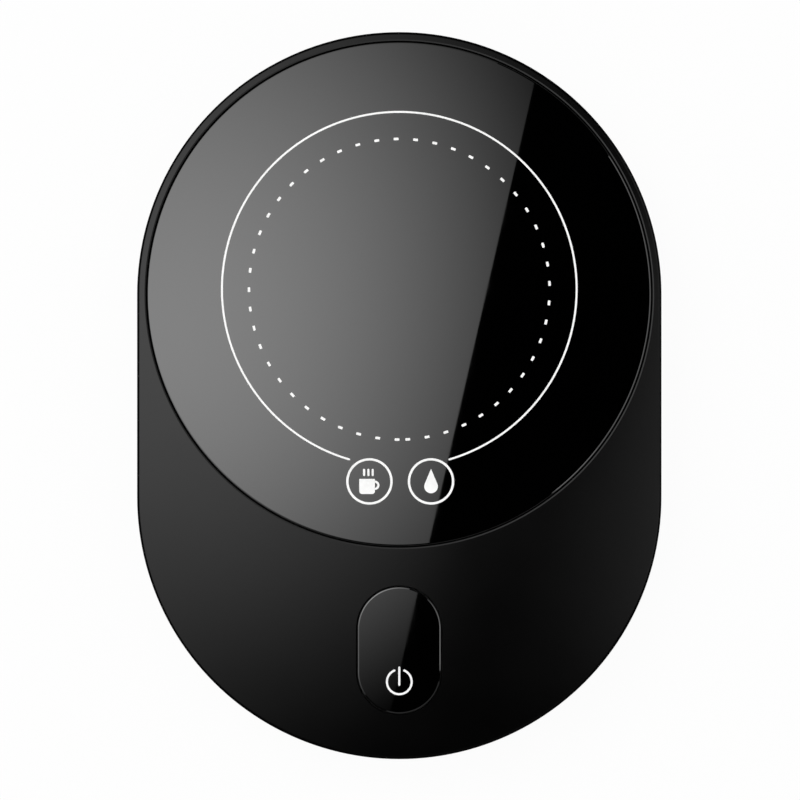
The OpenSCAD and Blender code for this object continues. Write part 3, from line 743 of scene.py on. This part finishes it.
# Metals: colour, range of roughness, stretch of the drawn lines, their grain and depth
METALS = {
    "zinc_steel": ((0.56, 0.57, 0.6), (0.22, 0.38), (1.0, 1.0, 5.0)),
    "socket_steel": ((0.62, 0.62, 0.63), (0.18, 0.3), (1.0, 0.1, 1.0), 0.15),
    "spreader_metal": ((0.78, 0.79, 0.8), (0.25, 0.4), (0.06, 1.0, 1.0)),
    "heater_track": ((0.42, 0.42, 0.44), (0.3, 0.45)),
    "spring_steel": ((0.5, 0.5, 0.52), (0.2, 0.3), (1.0, 1.0, 3.0), 0.2),
    "capacitor_can": ((0.7, 0.71, 0.73), (0.2, 0.32), (1.0, 1.0, 8.0)),
    "fuse_brass": ((0.72, 0.55, 0.25), (0.22, 0.38), (0.2, 1.0, 1.0)),
    "contact_gold": ((0.9, 0.66, 0.28), (0.12, 0.22), None, 0.2, 0.0005),
}


def make_looks():
    """Every material by its slot name."""
    own = {
        "housing_plastic": satin_black, "button_plastic": piano_black, "plate_glass": black_glass,
        "clear_guide": clear_plastic, "pan_steel": spangled_steel, "ceramic_fibre": fibre_board,
        "board_laminate": solder_mask}
    looks = {name: make(name) for name, make in own.items()}
    looks |= {name: moulded(name, *look, **MOULDED_EXTRAS.get(name, {}))
              for name, look in MOULDED.items()}
    looks |= {name: speckled(name, *look) for name, look in SPECKLED.items()}
    looks |= {name: metal(name, *look) for name, look in METALS.items()}
    return looks


# Slot of each CAD node that stays in view
CAD_SLOTS = {
    "plate_gasket": "seal_silicone",
    "heat_spreader": "spreader_metal",
    "heater_film": "heater_film",
    "heater_track": "heater_track",
    "insulation_pad": "ceramic_fibre",
    "clamp_pan": "pan_steel",
    "clamp_screws": "zinc_steel",
    "temperature_sensor": "sensor_ceramic",
    "thermal_fuse": "fuse_brass",
    "light_guide": "clear_guide",
    "button_frame": "frame_plastic",
    "frame_screws": "zinc_steel",
    "switch_body": "component_black",
    "switch_plunger": "plunger_plastic",
    "control_board": "board_laminate",
    "board_screws": "zinc_steel",
    "processor_chip": "component_black",
    "power_transistor": "component_black",
    "board_capacitor": "capacitor_can",
    "chip_resistors": "resistor_ceramic",
    "status_led": "led_lens",
    "wire_connectors": "connector_nylon",
    "inlet_board": "board_laminate",
    "inlet_screws": "zinc_steel",
    "inlet_chip": "component_black",
    "inlet_connector": "connector_nylon",
    "inlet_socket": "socket_steel",
    "inlet_tongue": "tongue_plastic",
    "inlet_contacts": "contact_gold",
    "power_wires": "wire_red",
    "heater_wires": "wire_white",
    "sensor_wires": "wire_grey",
}


def dress_cad_nodes(nodes, looks):
    """Gives each CAD node that stays in view its procedural material."""
    for name, slot in CAD_SLOTS.items():
        obj = nodes[name]
        for place in obj.material_slots:
            place.material = looks[slot]


# ------------------------------------------------------------------ pieces

def corners(x, y):
    """Four places mirrored about both middle planes."""
    return [(sx * x, sy * y) for sx in (-1, 1) for sy in (-1, 1)]


def arm_places():
    """Where the clamp pan's four screws stand."""
    reach = PLATE_R - ARM_IN
    return [(reach * math.cos(math.radians(a)), PLATE_Y + reach * math.sin(math.radians(a)))
            for a in (45, 135, 225, 315)]


def ear_places():
    """Where the button frame's two screws stand."""
    return [(x, CAP_Y) for x in (-EAR_X, EAR_X)]


def board_places():
    """Where the control board's four screws stand."""
    return [(x, CAP_Y + y) for x, y in BOARD_SCREWS]


def shell_edge():
    """Wall's end up to the deck: a small round, then the soft edge."""
    r = END_R - EDGE_ROUND[-1][0] - sum(run for run, _ in EDGE_STEPS)
    points = [(r, Z_DECK)]
    for run, slope in EDGE_STEPS:
        r, z = points[-1]
        points.append((r + run, z - run * math.tan(math.radians(slope))))
    r, z = points[-1]
    points += [(r + run, z - fall) for run, fall in EDGE_ROUND]
    return list(reversed(points))


def housing(look):
    """Upper housing: wall, deck, the plate's well and the button's opening."""
    shell = solid("housing_shell", [
        (INNER_R, Z_DECK_LOW), (INNER_R, Z_SEAM),
        *[(END_R - inset, Z_SEAM + up) for inset, up in SEAM_EDGE], *shell_edge()], PLATE_Y)
    well = solid("well", [(WELL_R, Z_LEDGE_LOW), (WELL_R, Z_WELL)], 0.0, (0, PLATE_Y))
    inside = END_R - SKIN
    limit = solid("limit", [(inside, Z_LEDGE_LOW - PAST), (inside, Z_DECK)], PLATE_Y)
    boolean(well, limit, "INTERSECT")
    add(shell, well)
    top = Z_DECK_LOW + SUNK
    add(shell, *pegs(BOSS_R, Z_LIP, top, corners(*SCREW_AT)),
        *pegs(EAR_R, Z_EAR, top, ear_places()))
    add(shell, *pegs(ARM_R, Z_PAN, Z_LEDGE_LOW + SUNK, arm_places()))
    pocket = [(LEDGE_R, Z_LEDGE_LOW - PAST), (LEDGE_R, Z_LEDGE), (POCKET_R, Z_LEDGE),
              *facet_flare(POCKET_R, Z_DECK, POCKET_FACET)]
    cut(shell, solid("pocket", pocket, 0.0, (0, PLATE_Y), 160))
    r = CAP_R + CAP_GAP
    opening = [(r, Z_DECK_LOW - PAST), *flare(r, Z_DECK, OPENING_ROUND)]
    cut(shell, solid("opening", opening, CAP_HALF, (0, CAP_Y), 48))
    cut(shell, *pegs(SCREW_HOLE_R, Z_LIP - PAST, Z_SCREW_HOLE, corners(*SCREW_AT), 16),
        *pegs(SMALL_HOLE_R, Z_PAN - PAST, Z_ARM_HOLE, arm_places(), 16),
        *pegs(SMALL_HOLE_R, Z_EAR - PAST, Z_DECK_LOW, ear_places(), 16))
    cut_inlet(shell)
    finish_mesh(shell, look, "housing_plastic", "housing", "upper_shell")
    crease(shell, Z_DECK, Z_DECK - facet_fall(POCKET_FACET))


def sideways(obj, y):
    """Turns a solid made upright about the origin to lie along Y at the inlet's height."""
    spin = Matrix.Rotation(math.radians(90), 4, "Z")
    lie_down = Matrix.Rotation(math.radians(-90), 4, "X") @ spin
    place = Matrix.Translation((0, y * MM, Z_INLET * MM))
    return turned(obj, place @ lie_down)


def cut_inlet(shell):
    """Recess for the plug's grip and the slot that the socket looks out of."""
    wide, high, deep = RECESS
    floor = INLET_Y - deep
    recess = solid("recess", [*[(high / 2 - inset, up) for inset, up in RECESS_FOOT],
                              (high / 2, deep + 2 * PAST)], (wide - high) / 2, steps=32)
    cut(shell, sideways(recess, floor))
    w, h = SLOT_SIZE
    slot = solid("slot", [(h / 2 + grow, up) for grow, up in SLOT_MOUTH], (w - h) / 2, steps=24)
    cut(shell, sideways(slot, floor))

    def at_mouth(p):
        across = max(abs(p.x) - (wide - high) / 2, 0)
        off = math.hypot(across, p.z - Z_INLET) - high / 2
        return p.y > floor + deep / 2 and abs(off) < RECESS_NEAR

    soften(shell, at_mouth, RECESS_ROUND, 4)


def base(look):
    """Base cover: plate, band, lip, posts, wells, vents and a bare recessed plaque."""
    cover = solid("base_cover_shaped", [
        *low_round(BAND_R, Z_BASE, BAND_ROUND), (BAND_R, Z_BAND - BAND_EDGE),
        (BAND_R - BAND_EDGE, Z_BAND), (LIP_R, Z_BAND), (LIP_R, Z_LIP - LIP_EDGE),
        (LIP_R - LIP_EDGE, Z_LIP), (LIP_IN_R, Z_LIP), (LIP_IN_R, Z_FLOOR)], PLATE_Y)
    low = Z_FLOOR - SUNK
    add(cover, *pegs(POST_R, low, Z_LIP, corners(*SCREW_AT)),
        *pegs(BOARD_POST_R, low, Z_BOARD, board_places()),
        *pegs(INLET_POST_R, low, Z_INLET_BOARD, INLET_SCREWS))
    well = mouth(WELL_HEAD_R, MOUTH_ROUND) + [
        (WELL_HEAD_R, Z_HEAD_WELL), (SCREW_PASS_R, Z_HEAD_WELL), (SCREW_PASS_R, Z_LIP + PAST)]
    cut(cover, *[solid("well", well, 0.0, at, 32) for at in corners(*SCREW_AT)])
    seat = mouth(FOOT_SEAT_R, SEAT_ROUND) + [(FOOT_SEAT_R, Z_FOOT_SEAT)]
    cut(cover, *[solid("seat", seat, 0.0, at, 48) for at in corners(*FOOT_AT)])
    w, length = VENT_SIZE
    vent = mouth(w / 2, MOUTH_ROUND) + [(w / 2, Z_FLOOR + PAST)]
    rows = [((i - (VENT_COUNT - 1) / 2) * VENT_STEP, PLATE_Y) for i in range(VENT_COUNT)]
    cut(cover, *[solid("vent", vent, (length - w) / 2, at, 16) for at in rows])
    cut(cover, plaque_tool())
    cut(cover, *pegs(SMALL_HOLE_R, Z_BOARD_HOLE, Z_BOARD + PAST, board_places(), 16),
        *pegs(INLET_HOLE_R, Z_INLET_HOLE, Z_BOARD + PAST, INLET_SCREWS, 16))
    finish_mesh(cover, look, "base_plastic", "housing", "base_cover")


def mouth(r, f):
    """Start of a cutter that opens through the underside with a rounded edge of radius f."""
    return list(reversed(flare(r, Z_BASE, f, -1)))


def plaque_tool():
    """Rounded plate that leaves the bare plaque in the underside."""
    rings = []
    for grow, up in PLAQUE_EDGE:
        x, y = (side / 2 + grow for side in PLAQUE)
        square = [(-x, PLAQUE_Y - y), (x, PLAQUE_Y - y), (x, PLAQUE_Y + y), (-x, PLAQUE_Y + y)]
        round_square = rounded_polygon(square, PLAQUE_CORNER + grow)
        rings.append([(px, py, Z_BASE + up) for px, py in round_square])
    return stack("plaque", rings)


def feet(look):
    """Four rubber feet with moulded rings on the sole."""
    section = [*FOOT_SOLE, *[(FOOT_R - inset, z) for inset, z in FOOT_SIDE]]
    names = {(-1, -1): "front_left", (1, -1): "front_right",
             (-1, 1): "rear_left", (1, 1): "rear_right"}
    for (sx, sy), place in names.items():
        at = (sx * FOOT_AT[0], sy * FOOT_AT[1])
        foot = solid("rubber_foot_" + place, section, 0.0, at, 64)
        finish_mesh(foot, look, "foot_rubber", "housing", "foot_" + place)


def base_screws(look):
    """Four cross-head screws that close the housing."""
    heads = []
    for at in corners(*SCREW_AT):
        head = solid("head", SCREW, 0.0, at, 32)
        cut(head, solid("cross", CROSS, 0.0, at, 16))
        for spin in (45, 135):
            wing = stack("wing", [[(-x, -y, z), (x, -y, z), (x, y, z), (-x, y, z)]
                                  for x, y, z in CROSS_WING])
            spot = Matrix.Translation((at[0] * MM, at[1] * MM, 0))
            cut(head, turned(wing, spot @ Matrix.Rotation(math.radians(spin), 4, "Z")))
        heads.append(head)
    screws = merged("housing_screws", heads)
    finish_mesh(screws, look, "zinc_steel", "housing", "base_screws", sharp=math.radians(35))


def plate(look):
    """Round glass with a shallow ground edge."""
    top = Z_TOP - PRINT_T
    glass = solid("heating_glass", [
        *[(PLATE_R - inset, Z_PLATE + up) for inset, up in GLASS_FOOT],
        *facet_edge(PLATE_R, top, GLASS_FACET)], 0.0, (0, PLATE_Y), 160)
    finish_mesh(glass, look, "plate_glass", "housing", "glass_plate")
    crease(glass, top, top - facet_fall(GLASS_FACET))


def markings(look):
    """White print on the glass: ring, dashes, two round badges with plain icons."""
    centre = (0.0, RING_Y)
    start = -90 + RING_OPEN / 2
    outlines = [open_ring(centre, RING_R, RING_STROKE, start, start + 360 - RING_OPEN, 220)]
    along, across = DASH_SIZE
    dash = rounded_polygon([(-along / 2, -across / 2), (along / 2, -across / 2),
                            (along / 2, across / 2), (-along / 2, across / 2)], DASH_CORNER, 4)
    for i in range(DASH_COUNT):
        a = math.radians(DASH_FIRST + i * DASH_PITCH)
        spin = Matrix.Rotation(a, 2)
        middle = Vector((DASH_R * math.cos(a), RING_Y + DASH_R * math.sin(a)))
        outlines.append([tuple(middle + spin @ Vector(p)) for p in dash])
    for at in BADGE_AT:
        outlines += [outline(BADGE_R, centre=at), outline(BADGE_R - BADGE_STROKE, centre=at)]
    cup, handle = mug_outlines()
    low = Z_TOP - 2 * PRINT_T
    outlines += cup
    outlines.append(drop_outline())
    marks = merged("plate_print", [print_mesh("marks", outlines, low, Z_TOP),
                                   print_mesh("handle", handle, low, Z_TOP)])
    finish_mesh(marks, look, "white_enamel", "housing", "plate_markings")


def button(look):
    """Push button: polished cap, flange, two pins, stem and the guide's sleeve."""
    inner, outer = CAP_R - CAP_WALL, CAP_R + FLANGE
    top = Z_CAP - SYMBOL_PROUD
    cap = solid("power_button_cap", [
        (inner, Z_CAP_LOW), (inner, Z_FLANGE_LOW), (outer, Z_FLANGE_LOW), (outer, Z_FLANGE),
        (CAP_R, Z_FLANGE), *facet_edge(CAP_R, top, CAP_FACET)], CAP_HALF, (0, CAP_Y), 64)
    root = Z_CAP_LOW + SUNK
    ends = ((PIN_TIP, (-PIN_X, PIN_Y)), (PIN_TIP, (PIN_X, PIN_Y)), (STEM_TIP, (0, CAP_Y)))
    tubes = [solid("tube", [*tip, (tip[-1][0], root)], 0.0, at, 24) for tip, at in ends]
    add(cap, *tubes, *pegs(SLEEVE_R, Z_FLANGE_LOW, root, [(0, SYMBOL_Y)], 32))
    bore_r, bore_top = GUIDE_BORE
    cut(cap, *pegs(bore_r, Z_FLANGE_LOW - PAST, bore_top, [(0, SYMBOL_Y)], 32))
    finish_mesh(cap, look, "button_plastic", "power_button", "button_cap")
    crease(cap, top, top - facet_fall(CAP_FACET))


def power_symbol(look):
    """White power symbol in the cap."""
    centre = (0.0, SYMBOL_Y)
    start = 90 + SYMBOL_OPEN / 2
    ring = open_ring(centre, SYMBOL_R, SYMBOL_STROKE, start, start + 360 - SYMBOL_OPEN, 72)
    top, low = SYMBOL_BAR
    bar = capsule((0.0, SYMBOL_Y + (top + low) / 2), SYMBOL_STROKE, top - low)
    symbol = print_mesh("power_symbol", [ring, bar], Z_CAP - SYMBOL_T, Z_CAP)
    finish_mesh(symbol, look, "symbol_white", "power_button", "button_symbol")


def spring(name, x, look, node):
    """Return spring with closed ends, made as it stands with the button up."""
    per_turn, sides = 32, 12
    low, high = Z_SPRING + WIRE_R, Z_CAP_LOW - WIRE_R
    rise = 2 * WIRE_R * CLOSE_RISE
    open_turns = SPRING_TURNS - 2 * CLOSE_TURNS
    count = int(SPRING_TURNS * per_turn)
    rings = []
    for i in range(count + 1):
        done = SPRING_TURNS * i / count
        close = min(done, CLOSE_TURNS) + max(done - open_turns - CLOSE_TURNS, 0.0)
        lift = min(max((done - CLOSE_TURNS) / open_turns, 0.0), 1.0)
        z = low + rise * close + lift * (high - low - 2 * rise * CLOSE_TURNS)
        a = 2 * math.pi * done
        out = Vector((math.cos(a), math.sin(a), 0))
        middle = Vector((x, PIN_Y, z)) + out * SPRING_R
        rings.append([tuple(middle + WIRE_R * (math.cos(b) * out + Vector((0, 0, math.sin(b)))))
                      for b in (-2 * math.pi * k / sides for k in range(sides))])
    coil = stack(name, rings)
    finish_mesh(coil, look, "spring_steel", "housing", node, sharp=math.radians(60))
    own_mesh(coil)


# ------------------------------------------------------------------ stage

# Camera, straight above the middle of the picture
EYE = (0.14, -0.87, Z_TOP + 528.45)
LENS = 120.0
CEILING = 820.0
# The small cards hang this far below the ceiling
CARD_LOWER = 1.0
# How many times a card on the ceiling is as large as its mirror image in the glass
REACH = 1 + (CEILING - Z_TOP) / (EYE[2] - Z_TOP)


def make_camera():
    """Camera that looks straight down."""
    camera = bpy.data.cameras.new("camera")
    camera.lens = LENS
    camera.clip_start, camera.clip_end = 0.01, 20.0
    obj = new_object("camera", camera)
    obj.location = tuple(c * MM for c in EYE)
    bpy.context.scene.camera = obj


def overhead(x, y):
    """Place on the ceiling that the glass mirrors to the camera at x, y."""
    return (EYE[0] + (x - EYE[0]) * REACH, EYE[1] + (y - EYE[1]) * REACH)


def card(name, points, material, lower=0.0):
    """Flat lit card, face down at the ceiling's height; only gloss and lighting see it."""
    mesh = mesh_of(name, [(x, y, 0.0) for x, y in points], [list(reversed(range(len(points))))])
    obj = new_object(name, mesh)
    obj.location = (0, 0, (CEILING - lower) * MM)
    mesh.materials.append(material)
    obj.visible_camera = False
    obj.visible_shadow = False


def light_material(name):
    """Material that gives light: itself, its tree and its emission node."""
    material = bpy.data.materials.new(name)
    material.use_nodes = True
    material.node_tree.nodes.clear()
    tree = Tree(material.node_tree)
    emission = tree.node("Emission")
    tree.node("OutputMaterial", {"Surface": emission.outputs[0]})
    return material, tree, emission


# Places on the ceiling are given by the point of the glass that mirrors them, in millimetres.
# The softbox: its brightest point, how far it reaches sideways, up and down, and its turn
GLOW_AT = (-47.3, 13.3)
GLOW_REACH = (92.7, 114.4, 93.3)
GLOW_TURN = -17.6
GLOW_POWER = 2.09
GLOW_STRENGTH = 5.51
# The softbox's straight edge, as its points at two heights, and its left side
EDGE_TOP = (40.01, 120.0)
EDGE_LOW = (-9.18, -95.0)
LEFT_SIDE = -105.0
# Beyond this distance from the object's middle line the softbox is as bright as there
HOLD_R = 53.0

# Card at the right: where its light starts and where the ramp is 1, its last level, its
# power and its strength
RIGHT_RAMP = (18.0, 65.5)
RIGHT_LEVEL = 1.4
RIGHT_POWER = 2.0
RIGHT_STRENGTH = 1.15
# Its outline: arcs (radius, start, end) round the front end and the plate, and corners
RIGHT_FRONT = (54.0, -70.5, -41.0)
RIGHT_PLATE = (51.0, 17.0, -69.3)
RIGHT_CORNERS = ((52, -55.2), (115, -55.2), (115, 73), (70, 73), (62, 35))

# Small cards that only narrow facets mirror: name, strength and corners
SMALL_CARDS = (
    ("corner", 2.8, ((59, -54), (78, -54), (78, -38), (59, -38))),
    ("near", 0.42, ((-22, -150), (70, -150), (95, -72), (62, -72), (30, -108), (-22, -108))))


def held(tree, place):
    """The place, or beyond HOLD_R the nearest place at that distance from the middle line."""
    front, rear = (overhead(0.0, y)[1] * MM for y in (-PLATE_Y, PLATE_Y))
    along = tree.node("Clamp", {"Value": tree.split(place)["Y"], "Min": front, "Max": rear})
    line = {"X": overhead(0.0, 0.0)[0] * MM, "Y": along.outputs[0]}
    middle = tree.node("CombineXYZ", line).outputs[0]
    away = tree.vector("SUBTRACT", place, middle)
    share = tree.math("DIVIDE", HOLD_R * REACH * MM, tree.vector("LENGTH", away))
    kept = tree.vector("SCALE", away, tree.math("MINIMUM", share, 1.0))
    return tree.vector("ADD", middle, kept)


def soft_glow(tree, place):
    """Strength of the softbox's cloth, brightest at one point and fading all round."""
    bright = overhead(*GLOW_AT)
    side, up, down = (reach * REACH * MM for reach in GLOW_REACH)
    mapping = tree.node("Mapping", vector_type="TEXTURE", inputs={
        "Vector": held(tree, place), "Location": (bright[0] * MM, bright[1] * MM, 0.0),
        "Rotation": (0.0, 0.0, math.radians(GLOW_TURN)), "Scale": (side, up, 1.0)})
    across, along, _ = tree.split(mapping.outputs["Vector"])
    along = tree.math("MAXIMUM", along, tree.math("MULTIPLY", along, -up / down))
    square = tree.math("ADD", tree.math("POWER", across, 2.0), tree.math("POWER", along, 2.0))
    level = tree.math("MAXIMUM", tree.math("SUBTRACT", 1.0, square), 0.0)
    return tree.math("MULTIPLY", tree.math("POWER", level, GLOW_POWER), GLOW_STRENGTH)


def softbox():
    """Large softbox with a straight edge across the view."""
    material, tree, emission = light_material("softbox_cloth")
    place = tree.node("TexCoord").outputs["Object"]
    tree.feed(emission.inputs["Strength"], soft_glow(tree, place))
    points = [(LEFT_SIDE, EDGE_LOW[1]), EDGE_LOW, EDGE_TOP, (LEFT_SIDE, EDGE_TOP[1])]
    card("softbox", [overhead(*p) for p in points], material)


def right_card():
    """Card to the right of the plate whose light rises outwards."""
    material, tree, emission = light_material("right_cloth")
    start, end = (overhead(x, 0.0)[0] * MM for x in RIGHT_RAMP)
    across = tree.split(tree.node("TexCoord").outputs["Object"])["X"]
    ramp = tree.node("MapRange", {
        "Value": across, "From Min": start, "From Max": end, "To Max": RIGHT_LEVEL})
    rise = tree.math("POWER", ramp.outputs["Result"], RIGHT_POWER)
    tree.feed(emission.inputs["Strength"], tree.math("MULTIPLY", rise, RIGHT_STRENGTH))
    front = arc((0.0, -PLATE_Y), *RIGHT_FRONT, 16)
    round_plate = arc((0.0, PLATE_Y), *RIGHT_PLATE, 40)
    points = front + list(RIGHT_CORNERS) + round_plate
    card("right_card", [overhead(*p) for p in points], material)


# What gloss mirrors of the studio: (height of the direction, brightness) from horizon to ceiling
STUDIO = ((0.18, 1.0), (0.34, 0.45), (0.55, 0.3), (0.8, 0.12), (0.93, 0.0))
WORLD_FILL = 0.8
# Floor: its size, its colour, and the share of plain white in what the camera and gloss see
FLOOR_R = 3000.0
FLOOR_T = 2.0
FLOOR_GREY = 0.82
FLOOR_WHITE = 0.95
# Fill lamp: place and disk in millimetres, power in watts
LAMP_AT = (-350.0, 300.0, 750.0)
LAMP_SIZE = 500.0
LAMP_POWER = 1.8


def make_world():
    """White round the horizon, dimmer walls and a dark ceiling for gloss, and even fill."""
    world = bpy.data.worlds.new("studio")
    bpy.context.scene.world = world
    world.use_nodes = True
    world.node_tree.nodes.clear()
    tree = Tree(world.node_tree)
    path = tree.node("LightPath").outputs
    ramp = tree.node("ValToRGB", {
        "Fac": tree.split(tree.node("TexCoord").outputs["Generated"])["Z"]})
    elements = ramp.color_ramp.elements
    elements.remove(elements[1])
    elements[0].position = 0.0
    elements[0].color = (1, 1, 1, 1)
    for height, level in STUDIO:
        elements.new(height).color = (level, level, level, 1)
    seen = tree.node("Background", {"Color": (1, 1, 1, 1)})
    mirrored = tree.node("Background", {"Color": ramp.outputs["Color"]})
    fill = tree.node("Background", {"Strength": WORLD_FILL})
    gloss = tree.math("MAXIMUM", path["Is Glossy Ray"], path["Is Transmission Ray"])
    shown = tree.mixed(path["Is Camera Ray"], tree.mixed(gloss, fill, mirrored), seen)
    tree.node("OutputWorld", {"Surface": shown.outputs[0]})


def make_floor():
    """Pale table top that shows nearly white and keeps a soft shadow."""
    floor = solid("floor", [(FLOOR_R, -FLOOR_T), (FLOOR_R, 0.0)], steps=64)
    table = Look("floor_white", (FLOOR_GREY, FLOOR_GREY, FLOOR_GREY), 0.8, Specular_IOR_Level=0.1)
    path = table.node("LightPath").outputs
    seen = table.math("MAXIMUM", path["Is Camera Ray"], path["Is Glossy Ray"])
    seen = table.math("MAXIMUM", seen, path["Is Transmission Ray"])
    share = table.math("MULTIPLY", seen, FLOOR_WHITE)
    mix = table.mixed(share, table.shader, table.node("Emission"))
    table.feed(table.tree.nodes["Material Output"].inputs["Surface"], mix.outputs[0])
    floor.data.materials.append(table.material)


def make_lights():
    """Softbox, a weaker card at the right, two small cards and a fill lamp."""
    softbox()
    right_card()
    for name, strength, points in SMALL_CARDS:
        cloth, _, emission = light_material(name + "_cloth")
        emission.inputs["Strength"].default_value = strength
        card(name + "_card", [overhead(*p) for p in points], cloth, CARD_LOWER)
    lamp = bpy.data.lights.new("fill_lamp", "AREA")
    lamp.shape = "DISK"
    lamp.size = LAMP_SIZE * MM
    lamp.energy = LAMP_POWER
    obj = new_object("fill_lamp", lamp)
    obj.location = Vector(LAMP_AT) * MM
    aim = Vector((0, 0, Z_TOP * MM)) - obj.location
    obj.rotation_euler = aim.to_track_quat("-Z", "Y").to_euler()
    obj.visible_glossy = False


# ------------------------------------------------------------------ scene

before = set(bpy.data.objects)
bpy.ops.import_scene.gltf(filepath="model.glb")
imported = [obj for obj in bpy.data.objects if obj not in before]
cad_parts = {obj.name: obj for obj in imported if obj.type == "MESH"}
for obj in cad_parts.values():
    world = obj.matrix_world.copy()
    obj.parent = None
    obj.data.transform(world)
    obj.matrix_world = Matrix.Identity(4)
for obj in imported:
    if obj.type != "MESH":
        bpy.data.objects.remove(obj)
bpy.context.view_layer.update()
bpy.context.scene.view_settings.view_transform = "Standard"

make_camera()
make_world()
make_floor()
make_lights()

looks = make_looks()
dress_cad_nodes(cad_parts, looks)
housing(looks["housing_plastic"])
base(looks["base_plastic"])
feet(looks["foot_rubber"])
base_screws(looks["zinc_steel"])
plate(looks["plate_glass"])
markings(looks["white_enamel"])
button(looks["button_plastic"])
power_symbol(looks["symbol_white"])
spring("return_spring_left", -PIN_X, looks["spring_steel"], "button_spring_left")
spring("return_spring_right", PIN_X, looks["spring_steel"], "button_spring_right")
